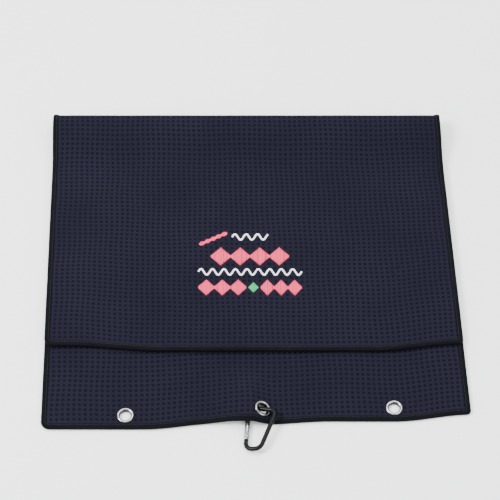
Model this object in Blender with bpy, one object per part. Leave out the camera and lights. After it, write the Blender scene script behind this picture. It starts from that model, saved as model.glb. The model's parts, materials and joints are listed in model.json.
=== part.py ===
"""A tri-fold golf towel: waffle cloth with a bound edge, three eyelets and a carabiner clip.

The towel lies folded once: a long back panel on the ground, a loose roll at the far edge, and a
shorter flap on top. Metres, +Z up. The ground is z = 0, the near hem faces -Y, the fold +Y.
"""

import math

import bmesh
import bpy
import numpy as np
from mathutils import Matrix, Vector

# Cloth, as laid.
TOWEL_WIDTH = 0.406
BACK_DEPTH = 0.3515
FLAP_DEPTH = 0.2765
CLOTH_THICKNESS = 0.0020
FOLD_Y = 0.18672
FOLD_CENTRE_X = -0.00477
FOLD_HEIGHT = 0.022
FOLD_RISE_LENGTH = 0.062
FOLD_RISE_SKEW = 1.2
SIDE_LEAN = 0.028
LAYER_CLEARANCE = 0.0003
FOLD_CUT = 0.0010
BACK_STEP_ACROSS = 0.024
BACK_STEP_ALONG = 0.030
FLAP_STEP_ACROSS = 0.026
FLAP_STEP_ALONG = 0.032

# Hem lines, as distances along Y from a straight hem.
HEM_DROP_LEFT = 0.0085
HEM_DROP_START = 0.020
HEM_DROP_LENGTH = 0.085
HEM_RISE_RIGHT = 0.0075
HEM_RISE_START = 0.130
HEM_RISE_LENGTH = 0.073
HEM_DIP = 0.0034
HEM_DIP_X = 0.0010
HEM_DIP_LENGTH = 0.070
FLAP_RISE_LEFT = 0.0060
FLAP_RISE_LEFT_START = 0.090
FLAP_RISE_RIGHT = 0.0085
FLAP_RISE_RIGHT_START = 0.115
FLAP_RISE_LENGTH = 0.088

# Binding tape, folded round the cloth's edge.
BINDING_WIDTH = 0.0052
BINDING_LIP = 0.0005
BINDING_WEB = 0.0006
BINDING_CLEARANCE = 0.00025
CLOTH_INSET = 0.0020
CORNER_LEFT = 0.0080
CORNER_RIGHT = 0.0045

# Eyelets.
EYELET_TO_BINDING = 0.0008
EYELET_SPACING = 0.1270
EYELET_SHIFT = 0.0035
CENTRE_EYELET_SHIFT = 0.0020
EYELET_BORE_RADIUS = 0.0053
EYELET_WALL = 0.0005
EYELET_FLANGE_RADIUS = 0.0080
EYELET_CROWN = 0.0010
WASHER_THICKNESS = 0.0005
SEAT_CLEARANCE = 0.00025
CENTRE_EYELET_HEIGHT = 0.0066
CENTRE_EYELET_TILT = math.radians(27.0)
LIFT_LEFT_LENGTH = 0.050
LIFT_BACK_LENGTH = 0.046
LIFT_AT_HEM = 0.80

# Carabiner, in its own plane: U runs from the gate to the spine, V from the hinge to the nose.
ROD_RADIUS = 0.0022
GATE_RADIUS = 0.00243
GATE_LENGTH = 0.0248
LOOP_BOTTOM = 0.0120
LOOP_BOTTOM_WIDTH = 0.0146
LOOP_TOP_WIDTH = 0.0275
LOOP_TOP_SPINE = 0.0270
LOOP_TOP_GATE = 0.0325
LOOP_BOTTOM_BEND = 0.0068
LOOP_SPINE_BEND = 0.0055
LOOP_NOSE_BEND = 0.0055
ROD_END_GAP = 0.0005
BAR_AT_EYELET = 0.0130
CARABINER_YAW = math.radians(-4.7)
CARABINER_ROLL = math.radians(17.0)
CARABINER_PITCH = math.radians(0.6)
TONGUE_THICKNESS = 0.0013
TONGUE_WIDTH = 0.0027
SLOT_CLEARANCE = 0.0003
HINGE_TONGUE_LENGTH = 0.0016
NOSE_TONGUE_LENGTH = 0.0035
RIVET_RADIUS = 0.0008
RIVET_HEAD_RADIUS = 0.0014
RIVET_SEAT = 0.0017
RIVET_HEAD_HEIGHT = 0.00025
SPOTFACE_MARGIN = 0.0012
LATCH_PIN_RADIUS = 0.0005
LATCH_PIN_DROP = 0.0017
PIN_CLEARANCE = 0.0002
SPRING_BORE_RADIUS = 0.0012
PLUNGER_RADIUS = 0.0009
PLUNGER_LENGTH = 0.0036
SPRING_LENGTH = 0.0042
SPRING_RADIUS = 0.00075
SPRING_WIRE_RADIUS = 0.00017
SPRING_TURNS = 6

# Embroidery on the flap: rows of lozenges and wavy lines. A drop is a distance from the fold, and
# an X is counted from the middle of the fold.
THREAD_HEIGHT = 0.0006
MOTIF_X = 0.0037
LOZENGE_WAIST = 0.0024
UPPER_ROW_DROP = 0.1661
UPPER_ROW_HEIGHT = 0.0228
UPPER_ROW_PITCH = 0.0195
UPPER_ROW_COUNT = 4
LOWER_ROW_DROP = 0.2034
LOWER_ROW_HEIGHT = 0.0196
LOWER_ROW_COUNT = 3
LOWER_ROW_HALF = 0.0510
LOWER_ROW_GAP = 0.0022
CENTRE_LOZENGE_WIDTH = 0.0099
CENTRE_LOZENGE_HEIGHT = 0.0130
CENTRE_LOZENGE_X = 0.0071
SPRIG_COUNT = 5
SPRIG_PITCH = 0.0062
SPRIG_HEIGHT = 0.0056
SPRIG_X = -0.0333
SPRIG_DROP = 0.1445
SPRIG_TURN = math.radians(28.0)
SHORT_WAVE_DROP = 0.1422
SHORT_WAVE_X = 0.0037
SHORT_WAVE_LENGTH = 0.0360
LONG_WAVE_DROP = 0.1849
LONG_WAVE_LENGTH = 0.1030
WAVE_HEIGHT = 0.0070
WAVE_PITCH = 0.0114
WAVE_LINE = 0.0018

# Derived sizes.
HALF_WIDTH = TOWEL_WIDTH / 2
BINDING_THICKNESS = CLOTH_THICKNESS + 2 * (BINDING_LIP + BINDING_CLEARANCE)
BACK_MID = BINDING_THICKNESS / 2
FLAP_MID = BACK_MID + BINDING_THICKNESS + LAYER_CLEARANCE
ROLL_RADIUS = (FOLD_HEIGHT - BINDING_THICKNESS) / 2
AXIS_Z = FOLD_HEIGHT / 2
EYELET_INSET = BINDING_WIDTH + EYELET_TO_BINDING + EYELET_FLANGE_RADIUS
FLANGE_PLANE = EYELET_INSET - BINDING_WIDTH
BARREL_RADIUS = EYELET_BORE_RADIUS + EYELET_WALL
GATE_FOOT = 0.8 * GATE_RADIUS
ROUND_SIDES = 28
COIL_SIDES = 10
WAVE_SIDES = 8
SMOOTH_UNDER = math.radians(35)
MERGE_DISTANCE = 1e-7


def smoothstep(t):
    t = min(max(t, 0.0), 1.0)
    return t * t * (3 - 2 * t)


def material(name, colour, roughness, metallic=0.0):
    made = bpy.data.materials.new(name)
    made.use_nodes = True
    shader = made.node_tree.nodes["Principled BSDF"]
    shader.inputs["Base Color"].default_value = (*colour, 1.0)
    shader.inputs["Roughness"].default_value = roughness
    shader.inputs["Metallic"].default_value = metallic
    return made


def add_object(name, points, faces, finish, smooth=False):
    mesh = bpy.data.meshes.new(name)
    mesh.from_pydata([tuple(p) for p in points], [], faces)
    shape = bmesh.new()
    shape.from_mesh(mesh)
    bmesh.ops.recalc_face_normals(shape, faces=shape.faces)
    shape.to_mesh(mesh)
    shape.free()
    if smooth:
        mesh.shade_smooth()
        mesh.set_sharp_from_angle(angle=SMOOTH_UNDER)
    made = bpy.data.objects.new(name, mesh)
    made.data.materials.append(finish)
    bpy.context.scene.collection.objects.link(made)
    return made


def add_boolean(target, tool, operation):
    tool.hide_render = True
    tool.display_type = "WIRE"
    step = target.modifiers.new(tool.name, "BOOLEAN")
    step.operation = operation
    step.object = tool


# Towel shape: P runs across the towel, Q from a hem to the fold.


def hem_line(p):
    drop = HEM_DROP_LEFT * smoothstep((-p - HEM_DROP_START) / HEM_DROP_LENGTH)
    rise = HEM_RISE_RIGHT * smoothstep((p - HEM_RISE_START) / HEM_RISE_LENGTH)
    dip = HEM_DIP * (1 - smoothstep(abs(p - HEM_DIP_X) / HEM_DIP_LENGTH))
    return rise - drop - dip


def flap_line(p):
    left = FLAP_RISE_LEFT * smoothstep((-p - FLAP_RISE_LEFT_START) / FLAP_RISE_LENGTH)
    right = FLAP_RISE_RIGHT * smoothstep((p - FLAP_RISE_RIGHT_START) / FLAP_RISE_LENGTH)
    return left + right


def plan(p, q, depth, line):
    y = FOLD_Y - (depth - q) + line(p) * (1 - q / depth)
    x = FOLD_CENTRE_X + SIDE_LEAN * (FOLD_Y - y) + p
    return x, y


def eyelet_place(number):
    """X and Y of an eyelet: -1, 0 or 1 from left to right."""
    across = EYELET_SHIFT + number * EYELET_SPACING
    if number == 0:
        across += CENTRE_EYELET_SHIFT
    return plan(across, EYELET_INSET, BACK_DEPTH, hem_line)


def lift(x, y):
    """How far the cloth is raised where it rides over the carabiner and through the centre eyelet."""
    centre_x, centre_y = eyelet_place(0)
    slope = math.tan(CENTRE_EYELET_TILT)
    centre = CENTRE_EYELET_HEIGHT - BACK_MID
    across = x - centre_x
    if across > -FLANGE_PLANE:
        height = max(0.0, centre - across * slope)
    else:
        peak = centre + FLANGE_PLANE * slope
        height = peak * (1 - smoothstep((-FLANGE_PLANE - across) / LIFT_LEFT_LENGTH))
    along = y - centre_y
    if along < -FLANGE_PLANE:
        return height * (1 + (LIFT_AT_HEM - 1) * (-FLANGE_PLANE - along) / BINDING_WIDTH)
    return height * (1 - smoothstep((along - FLANGE_PLANE) / LIFT_BACK_LENGTH))


def back_surface(p, q):
    x, y = plan(p, q, BACK_DEPTH, hem_line)
    return Vector((x, y, BACK_MID + lift(x, y))), Vector((0, 0, 1))


def fold_rise(y):
    """The flap climbs to the top of the roll."""
    along = min(max(1 - (FOLD_Y - y) / FOLD_RISE_LENGTH, 0.0), 1.0)
    return (FOLD_HEIGHT - BACK_MID - FLAP_MID) * smoothstep(along**FOLD_RISE_SKEW)


def flap_surface(p, q):
    x, y = plan(p, q, FLAP_DEPTH, flap_line)
    return Vector((x, y, FLAP_MID + fold_rise(y))), Vector((0, 0, 1))


def roll_surface(p, turn):
    """turn runs from 0 under the roll to 1 on top of it."""
    gap = FOLD_CUT - LAYER_CLEARANCE
    x = FOLD_CENTRE_X + p
    if turn <= 0:
        return Vector((x, FOLD_Y - gap, AXIS_Z - ROLL_RADIUS)), Vector((0, 0, 1))
    if turn >= 1:
        return Vector((x, FOLD_Y - gap, AXIS_Z + ROLL_RADIUS)), Vector((0, 0, -1))
    angle = math.pi * (turn - 0.5)
    inward = Vector((0, -math.cos(angle), -math.sin(angle)))
    return Vector((x, FOLD_Y, AXIS_Z)) - inward * ROLL_RADIUS, inward


def rounded(p, q, inset):
    """Pulls a point of the panel's outline, this far inside its edge, onto the corner's arc."""
    radius = CORNER_LEFT if p < 0 else CORNER_RIGHT
    side = HALF_WIDTH - abs(p)
    if side >= radius or q >= radius:
        return p, q
    out_p, out_q = radius - side, radius - q
    reach = math.hypot(out_p, out_q)
    most = radius - inset
    if reach <= most:
        return p, q
    out_p, out_q = out_p * most / reach, out_q * most / reach
    return math.copysign(HALF_WIDTH - radius + out_p, p), radius - out_q


def add_slab(name, across, along, surface, finish):
    """A closed sheet of cloth over a grid of P and Q values."""
    half = CLOTH_THICKNESS / 2
    points = []
    for side in (-1, 1):
        for q in along:
            for p in across:
                middle, up = surface(p, q)
                points.append(middle + up * (side * half))
    wide, deep = len(across), len(along)
    faces = []
    for layer in (0, wide * deep):
        for row in range(deep - 1):
            for column in range(wide - 1):
                first = layer + row * wide + column
                faces.append((first, first + 1, first + wide + 1, first + wide))
    rim = list(range(wide))
    rim += [row * wide + wide - 1 for row in range(1, deep)]
    rim += [(deep - 1) * wide + column for column in range(wide - 2, -1, -1)]
    rim += [row * wide for row in range(deep - 2, 0, -1)]
    for first, second in zip(rim, rim[1:] + rim[:1]):
        faces.append((first, second, second + wide * deep, first + wide * deep))
    return add_object(name, points, faces, finish)


def binding_section():
    """Inset from the edge, and height over the cloth's middle, round the folded tape."""
    half = BINDING_THICKNESS / 2
    inner = half - BINDING_LIP
    return (
        (0, -half),
        (BINDING_WIDTH, -half),
        (BINDING_WIDTH, -inner),
        (BINDING_WEB, -inner),
        (BINDING_WEB, inner),
        (BINDING_WIDTH, inner),
        (BINDING_WIDTH, half),
        (0, half),
    )


def add_sweep(name, stations, finish):
    """Joins rings of points into one closed body with flat ends."""
    size = len(stations[0])
    points = [point for ring in stations for point in ring]
    faces = [tuple(range(size)), tuple(range(len(points) - size, len(points)))]
    for ring in range(len(stations) - 1):
        for corner in range(size):
            after = (corner + 1) % size
            first = ring * size
            second = first + size
            faces.append((first + corner, first + after, second + after, second + corner))
    return add_object(name, points, faces, finish)


def edge_rings(across, along, surface):
    """The tape's rings down the left side, along the hem and up the right side."""
    section = binding_section()

    def ring(place):
        made = []
        for inset, height in section:
            middle, up = surface(*place(inset))
            made.append(middle + up * height)
        return made

    def on_side(sign, q):
        return ring(lambda inset: (sign * (HALF_WIDTH - inset), q))

    def on_corner(sign, radius, angle):
        def place(inset):
            reach = radius - inset
            p = HALF_WIDTH - radius + reach * math.cos(angle)
            return sign * p, radius - reach * math.sin(angle)

        return ring(place)

    rings = [on_side(-1, q) for q in reversed(along) if q > BINDING_WIDTH + CORNER_LEFT]
    rings += [on_corner(-1, CORNER_LEFT, math.radians(a)) for a in (0, 22.5, 45, 67.5, 90)]
    hem = [p for p in across if abs(p) < HALF_WIDTH - 2 * CORNER_LEFT]
    rings += [ring(lambda inset, p=p: (p, inset)) for p in hem]
    rings += [on_corner(1, CORNER_RIGHT, math.radians(a)) for a in (90, 60, 30, 0)]
    rings += [on_side(1, q) for q in along if q > BINDING_WIDTH + CORNER_RIGHT]
    return rings


def grid_lines(start, stop, step, fixed=()):
    """Evenly spaced values from start to stop, with the fixed ones added and near ones dropped."""
    even = np.linspace(start, stop, max(2, round((stop - start) / step) + 1))
    kept = [v for v in even[1:-1] if all(abs(v - f) > step / 3 for f in fixed)]
    return sorted([start, stop, *kept, *fixed])


def hem_columns():
    """P values for the back panel: close together where the cloth is lifted."""
    centre = EYELET_SHIFT + CENTRE_EYELET_SHIFT
    plane_end = centre + (CENTRE_EYELET_HEIGHT - BACK_MID) / math.tan(CENTRE_EYELET_TILT)
    plane_start = centre - FLANGE_PLANE
    near = list(np.linspace(plane_start, plane_end, 7))
    near += list(np.linspace(plane_start - LIFT_LEFT_LENGTH, plane_start, 13)[:-1])
    near.append(plane_end + FLANGE_PLANE)
    edge = HALF_WIDTH - CLOTH_INSET
    extra = [-HALF_WIDTH + CORNER_LEFT, HALF_WIDTH - CORNER_RIGHT]
    return grid_lines(-edge, edge, BACK_STEP_ACROSS, sorted(near + extra))


def add_towel(cloth, tape):
    across = hem_columns()
    near = [CORNER_RIGHT, CORNER_LEFT, BINDING_WIDTH, EYELET_INSET, EYELET_INSET + FLANGE_PLANE]
    near += list(EYELET_INSET + FLANGE_PLANE + LIFT_BACK_LENGTH * np.linspace(0.15, 1, 6))
    back_end = BACK_DEPTH - FOLD_CUT
    along = grid_lines(CLOTH_INSET, back_end, BACK_STEP_ALONG, sorted(near))

    def back_cloth(p, q):
        return back_surface(*rounded(p, q, CLOTH_INSET))

    panel = add_slab("back_panel", across, along, back_cloth, cloth)
    for number in (-1, 0, 1):
        add_boolean(panel, eyelet_cutter(number), "DIFFERENCE")
    add_sweep("back_binding", edge_rings(across, along, back_surface), tape)

    edge = HALF_WIDTH - CLOTH_INSET
    corner_ends = [-HALF_WIDTH + CORNER_LEFT, HALF_WIDTH - CORNER_RIGHT]
    across = grid_lines(-edge, edge, FLAP_STEP_ACROSS, corner_ends)
    flap_end = FLAP_DEPTH - FOLD_CUT
    steps = [flap_end - FOLD_RISE_LENGTH * t for t in np.linspace(0.08, 1, 9)]
    fixed = sorted([CORNER_RIGHT, CORNER_LEFT, *steps])
    along = grid_lines(CLOTH_INSET, flap_end, FLAP_STEP_ALONG, fixed)

    def flap_cloth(p, q):
        return flap_surface(*rounded(p, q, CLOTH_INSET))

    add_slab("front_flap", across, along, flap_cloth, cloth)
    add_sweep("flap_binding", edge_rings(across, along, flap_surface), tape)

    turns = [0, *np.linspace(0.001, 0.999, 15), 1]
    add_slab("fold_roll", across, turns, roll_surface, cloth)
    for sign, side in ((-1, "left"), (1, "right")):
        rings = []
        for turn in turns:
            ring = []
            for inset, height in binding_section():
                middle, up = roll_surface(sign * (HALF_WIDTH - inset), turn)
                ring.append(middle + up * height)
            rings.append(ring)
        add_sweep("fold_binding_" + side, rings, tape)


# Eyelets.


def turned_mesh(profile, sides=ROUND_SIDES):
    """Points and faces of a closed profile of (radius, height) turned about Z."""
    points, faces = [], []
    size = len(profile)
    for step in range(sides):
        angle = 2 * math.pi * step / sides
        for radius, height in profile:
            points.append((radius * math.cos(angle), radius * math.sin(angle), height))
    for step in range(sides):
        first, second = step * size, (step + 1) % sides * size
        for corner in range(size):
            after = (corner + 1) % size
            faces.append((first + corner, first + after, second + after, second + corner))
    return points, faces


def rod_mesh(radii, sides=ROUND_SIDES):
    """Points and faces of a solid turned about Z from (radius, height) pairs, bottom to top."""
    points, faces = [], []
    for radius, height in radii:
        for step in range(sides):
            angle = 2 * math.pi * step / sides
            points.append((radius * math.cos(angle), radius * math.sin(angle), height))
    for level in range(len(radii) - 1):
        for step in range(sides):
            after = (step + 1) % sides
            low, high = level * sides, (level + 1) * sides
            faces.append((low + step, low + after, high + after, high + step))
    faces.append(tuple(range(sides)))
    faces.append(tuple(range(len(points) - sides, len(points))))
    return points, faces


def eyelet_matrix(number):
    x, y = eyelet_place(number)
    if number:
        return Matrix.Translation((x, y, BACK_MID))
    turn = Matrix.Rotation(CENTRE_EYELET_TILT, 4, "Y")
    return Matrix.Translation((x, y, CENTRE_EYELET_HEIGHT)) @ turn


def eyelet_cutter(number):
    reach = 3 * CLOTH_THICKNESS
    radius = BARREL_RADIUS + SEAT_CLEARANCE
    points, faces = rod_mesh(((radius, -reach), (radius, reach)))
    cutter = add_object(f"eyelet_hole_{number + 2}", points, faces, bpy.data.materials["nickel"])
    cutter.matrix_world = eyelet_matrix(number)
    return cutter


def add_eyelets(nickel):
    seat = CLOTH_THICKNESS / 2 + SEAT_CLEARANCE
    foot = -BINDING_THICKNESS / 2
    top = seat + EYELET_CROWN
    bore, barrel, flange = EYELET_BORE_RADIUS, BARREL_RADIUS, EYELET_FLANGE_RADIUS
    wide = flange - bore
    shell = (
        (barrel, foot),
        (barrel, seat),
        (flange - 0.12 * wide, seat),
        (flange, seat + 0.25 * EYELET_CROWN),
        (flange - 0.15 * wide, seat + 0.75 * EYELET_CROWN),
        (flange - 0.45 * wide, top),
        (flange - 0.75 * wide, seat + 0.8 * EYELET_CROWN),
        (bore + 0.04 * wide, seat + 0.2 * EYELET_CROWN),
        (bore, seat - EYELET_CROWN),
        (bore, foot),
    )
    inner = barrel + SEAT_CLEARANCE
    washer = (
        (inner, foot),
        (flange - EYELET_WALL, foot),
        (flange, foot + WASHER_THICKNESS / 2),
        (flange - EYELET_WALL, foot + WASHER_THICKNESS),
        (inner, foot + WASHER_THICKNESS),
    )
    for number, side in ((-1, "left"), (0, "centre"), (1, "right")):
        for name, profile in (("eyelet_", shell), ("eyelet_washer_", washer)):
            made = add_object(name + side, *turned_mesh(profile), nickel, smooth=True)
            made.matrix_world = eyelet_matrix(number)


# Carabiner.


def bar_v(u):
    """V of the top bar's centre line at U."""
    return LOOP_TOP_GATE + (LOOP_TOP_SPINE - LOOP_TOP_GATE) * u / LOOP_TOP_WIDTH


def carabiner_matrix():
    """Places the carabiner's plane so that its top bar runs through the centre eyelet."""
    turn = Matrix.Rotation(CARABINER_YAW, 4, "Z") @ Matrix.Rotation(-CARABINER_ROLL, 4, "Y")
    turn = turn @ Matrix.Rotation(CARABINER_PITCH, 4, "X")
    x, y = eyelet_place(0)
    at_eyelet = Matrix.Translation((-BAR_AT_EYELET, -bar_v(BAR_AT_EYELET), 0))
    return Matrix.Translation((x, y, CENTRE_EYELET_HEIGHT)) @ turn @ at_eyelet


def filleted(corners, radii, steps=7):
    """A polyline through the corners, each inner one rounded by its radius."""
    points = [Vector(corners[0])]
    for before, corner, after, radius in zip(corners, corners[1:], corners[2:], radii):
        corner = Vector(corner)
        back = (Vector(before) - corner).normalized()
        ahead = (Vector(after) - corner).normalized()
        half = back.angle(ahead) / 2
        centre = corner + (back + ahead).normalized() * (radius / math.sin(half))
        start = corner + back * (radius / math.tan(half)) - centre
        stop = corner + ahead * (radius / math.tan(half)) - centre
        sweep = start.angle(stop)
        for step in range(steps + 1):
            t = step / steps
            mixed = start * math.sin((1 - t) * sweep) + stop * math.sin(t * sweep)
            points.append(centre + mixed / math.sin(sweep))
    points.append(Vector(corners[-1]))
    return points


def add_box(name, low, high, place, finish):
    near_far = list(zip(low, high))
    points = [(x, y, z) for z in near_far[2] for y in near_far[1] for x in near_far[0]]
    faces = [(0, 1, 3, 2), (4, 5, 7, 6), (0, 1, 5, 4), (2, 3, 7, 6), (0, 2, 6, 4), (1, 3, 7, 5)]
    made = add_object(name, points, faces, finish)
    made.matrix_world = place
    return made


def add_rod(name, radii, place, finish, sides=ROUND_SIDES):
    made = add_object(name, *rod_mesh(radii, sides), finish, smooth=True)
    made.matrix_world = place
    return made


def add_tube(name, points, radius, place, finish, resolution=2):
    line = bpy.data.curves.new(name, "CURVE")
    line.dimensions = "3D"
    line.bevel_depth = radius
    line.bevel_resolution = resolution
    line.use_fill_caps = True
    spline = line.splines.new("POLY")
    spline.points.add(len(points) - 1)
    for point, co in zip(spline.points, points):
        point.co = (*co, 1)
    line.materials.append(finish)
    made = bpy.data.objects.new(name, line)
    bpy.context.scene.collection.objects.link(made)
    made.matrix_world = place
    graph = bpy.context.evaluated_depsgraph_get()
    mesh = bpy.data.meshes.new_from_object(made.evaluated_get(graph))
    bpy.data.objects.remove(made)
    shape = bmesh.new()
    shape.from_mesh(mesh)
    bmesh.ops.remove_doubles(shape, verts=shape.verts, dist=MERGE_DISTANCE)
    bmesh.ops.recalc_face_normals(shape, faces=shape.faces)
    shape.to_mesh(mesh)
    shape.free()
    mesh.shade_smooth()
    solid = bpy.data.objects.new(name, mesh)
    bpy.context.scene.collection.objects.link(solid)
    solid.matrix_world = place
    return solid


def add_carabiner(black, silver, steel):
    place = carabiner_matrix()
    along = Matrix.Rotation(-math.pi / 2, 4, "X")
    rod_foot = -ROD_END_GAP - GATE_FOOT
    nose = GATE_LENGTH + ROD_END_GAP
    corners = (
        (0, rod_foot, 0),
        (0, -LOOP_BOTTOM, 0),
        (LOOP_BOTTOM_WIDTH, -LOOP_BOTTOM, 0),
        (LOOP_TOP_WIDTH, LOOP_TOP_SPINE, 0),
        (0, LOOP_TOP_GATE, 0),
        (0, nose, 0),
    )
    bends = (LOOP_BOTTOM_BEND, LOOP_BOTTOM_BEND, LOOP_SPINE_BEND, LOOP_NOSE_BEND)
    frame = add_tube("carabiner_frame", filleted(corners, bends), ROD_RADIUS, place, black, 4)

    wide, thin = TONGUE_WIDTH / 2, TONGUE_THICKNESS / 2
    slot = thin + SLOT_CLEARANCE
    overlap = ROD_RADIUS
    hinge_top = HINGE_TONGUE_LENGTH
    nose_foot = GATE_LENGTH - NOSE_TONGUE_LENGTH
    pin_v = GATE_LENGTH - LATCH_PIN_DROP
    tongues = (
        ("hinge_tongue", rod_foot - overlap, hinge_top),
        ("nose_tongue", nose_foot, nose + overlap),
    )
    for name, low, high in tongues:
        tongue = add_box(name, (-wide, low, -thin), (wide, high, thin), place, black)
        add_boolean(frame, tongue, "UNION")
    notch = LATCH_PIN_RADIUS + PIN_CLEARANCE
    low = (-notch, pin_v - notch, -2 * thin)
    high = (2 * wide, pin_v + notch, 2 * thin)
    add_boolean(frame, add_box("latch_notch", low, high, place, black), "DIFFERENCE")
    bore = RIVET_RADIUS + PIN_CLEARANCE
    reach = 2 * GATE_RADIUS
    hole = add_rod("rivet_hole", ((bore, -reach), (bore, reach)), place, black)
    add_boolean(frame, hole, "DIFFERENCE")

    tube = (
        (GATE_RADIUS * 0.5, -GATE_FOOT),
        (GATE_RADIUS * 0.85, -GATE_FOOT * 0.6),
        (GATE_RADIUS, 0),
        (GATE_RADIUS, GATE_LENGTH),
    )
    gate = add_rod("carabiner_gate", tube, place @ along, silver)
    far = 2 * GATE_RADIUS
    slots = (
        ("hinge_slot", -2 * GATE_FOOT, hinge_top + SLOT_CLEARANCE * 2),
        ("nose_slot", nose_foot - SLOT_CLEARANCE * 2, GATE_LENGTH + GATE_FOOT),
    )
    for name, low, high in slots:
        slit = add_box(name, (-far, low, -slot), (far, high, slot), place, silver)
        add_boolean(gate, slit, "DIFFERENCE")
    spring_foot = hinge_top + SLOT_CLEARANCE + PLUNGER_LENGTH + SLOT_CLEARANCE
    spring_top = spring_foot + SPRING_LENGTH
    bored = ((SPRING_BORE_RADIUS, hinge_top), (SPRING_BORE_RADIUS, spring_top + SLOT_CLEARANCE))
    add_boolean(gate, add_rod("spring_bore", bored, place @ along, silver), "DIFFERENCE")
    add_boolean(gate, hole, "DIFFERENCE")
    flat_end = RIVET_HEAD_RADIUS + SPOTFACE_MARGIN
    for name, low, high in (("upper_flat", RIVET_SEAT, reach), ("lower_flat", -reach, -RIVET_SEAT)):
        flat = add_box(name, (-far, -far, low), (far, flat_end, high), place, silver)
        add_boolean(gate, flat, "DIFFERENCE")
    pin_place = place @ Matrix.Translation((0, pin_v, 0))
    drilled = LATCH_PIN_RADIUS + PIN_CLEARANCE
    pin_hole = add_rod("pin_hole", ((drilled, -reach), (drilled, reach)), pin_place, silver, 16)
    add_boolean(gate, pin_hole, "DIFFERENCE")

    pin_half = GATE_RADIUS
    pin = ((LATCH_PIN_RADIUS, -pin_half), (LATCH_PIN_RADIUS, pin_half))
    add_rod("gate_latch_pin", pin, pin_place, steel, 16)
    low = RIVET_SEAT + PIN_CLEARANCE
    high = low + RIVET_HEAD_HEIGHT
    shoulder = (low + high) / 2
    upper_half = (
        (RIVET_RADIUS, low),
        (RIVET_HEAD_RADIUS, low),
        (RIVET_HEAD_RADIUS, shoulder),
        (0.6 * RIVET_HEAD_RADIUS, high),
    )
    lower_half = [(radius, -height) for radius, height in reversed(upper_half)]
    add_rod("gate_hinge_rivet", [*lower_half, *upper_half], place, steel, 20)
    plunger_foot = hinge_top + SLOT_CLEARANCE
    plunger = (
        (0.5 * PLUNGER_RADIUS, plunger_foot),
        (PLUNGER_RADIUS, plunger_foot + 0.5 * PLUNGER_RADIUS),
        (PLUNGER_RADIUS, plunger_foot + PLUNGER_LENGTH),
    )
    add_rod("gate_plunger", plunger, place @ along, steel, 16)
    coil = []
    steps = SPRING_TURNS * COIL_SIDES
    travel = SPRING_LENGTH - 2 * SPRING_WIRE_RADIUS
    for step in range(steps + 1):
        angle = 2 * math.pi * step / COIL_SIDES
        rise = spring_foot + SPRING_WIRE_RADIUS + travel * step / steps
        coil.append((SPRING_RADIUS * math.cos(angle), rise, SPRING_RADIUS * math.sin(angle)))
    add_tube("gate_spring", coil, SPRING_WIRE_RADIUS, place, steel, 0)


# Embroidery.


def add_motif(name, outline, finish):
    """A flat stitched shape a hair above the flap, from its outline as (X, minus the drop)."""
    foot = FLAP_MID + CLOTH_THICKNESS / 2 + LAYER_CLEARANCE
    placed = [(FOLD_CENTRE_X + x, FOLD_Y + y) for x, y in outline]
    rings = [[(x, y, foot + THREAD_HEIGHT * level) for x, y in placed] for level in (0, 1)]
    return add_sweep(name, rings, finish)


def lozenge_chain(centre_x, centre_y, count, pitch, height):
    """Outline of touching lozenges: out along the top edge and back along the bottom."""
    top = []
    start = centre_x - count * pitch / 2
    for number in range(count):
        left = start + number * pitch
        top.append((left, LOZENGE_WAIST / 2))
        top.append((left + pitch / 2, height / 2))
    top.append((start + count * pitch, LOZENGE_WAIST / 2))
    above = [(x, centre_y + y) for x, y in top]
    below = [(x, centre_y - y) for x, y in reversed(top)]
    return above + below


def wave(centre_x, centre_y, length):
    """Outline of a wavy line of even width."""
    steps = round(length / WAVE_PITCH * WAVE_SIDES)
    above, below = [], []
    for step in range(steps + 1):
        along = length * step / steps
        phase = 2 * math.pi * along / WAVE_PITCH
        slope = math.pi * WAVE_HEIGHT / WAVE_PITCH * math.cos(phase)
        middle = Vector((centre_x - length / 2 + along, centre_y + WAVE_HEIGHT / 2 * math.sin(phase)))
        across = Vector((-slope, 1)).normalized() * (WAVE_LINE / 2)
        above.append(tuple(middle + across))
        below.append(tuple(middle - across))
    return above + below[::-1]


def add_embroidery(pink, white, green):
    upper = lozenge_chain(MOTIF_X, -UPPER_ROW_DROP, UPPER_ROW_COUNT, UPPER_ROW_PITCH, UPPER_ROW_HEIGHT)
    add_motif("embroidery_pink_upper", upper, pink)
    wide, tall = CENTRE_LOZENGE_WIDTH / 2, CENTRE_LOZENGE_HEIGHT / 2
    for sign, side in ((-1, "left"), (1, "right")):
        inner = CENTRE_LOZENGE_X + sign * (wide + LOWER_ROW_GAP)
        outer = MOTIF_X + sign * LOWER_ROW_HALF
        pitch = abs(outer - inner) / LOWER_ROW_COUNT
        middle = (inner + outer) / 2
        lower = lozenge_chain(middle, -LOWER_ROW_DROP, LOWER_ROW_COUNT, pitch, LOWER_ROW_HEIGHT)
        add_motif("embroidery_pink_lower_" + side, lower, pink)
    sprig = lozenge_chain(0, 0, SPRIG_COUNT, SPRIG_PITCH, SPRIG_HEIGHT)
    turn = Matrix.Rotation(SPRIG_TURN, 2)
    sprig = [tuple(turn @ Vector(point) + Vector((SPRIG_X, -SPRIG_DROP))) for point in sprig]
    add_motif("embroidery_pink_sprig", sprig, pink)
    diamond = [(-wide, 0), (0, tall), (wide, 0), (0, -tall)]
    green_shape = [(CENTRE_LOZENGE_X + x, y - LOWER_ROW_DROP) for x, y in diamond]
    add_motif("embroidery_green_centre", green_shape, green)
    add_motif("embroidery_white_upper", wave(SHORT_WAVE_X, -SHORT_WAVE_DROP, SHORT_WAVE_LENGTH), white)
    add_motif("embroidery_white_middle", wave(MOTIF_X, -LONG_WAVE_DROP, LONG_WAVE_LENGTH), white)


# Pivots.


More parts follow.
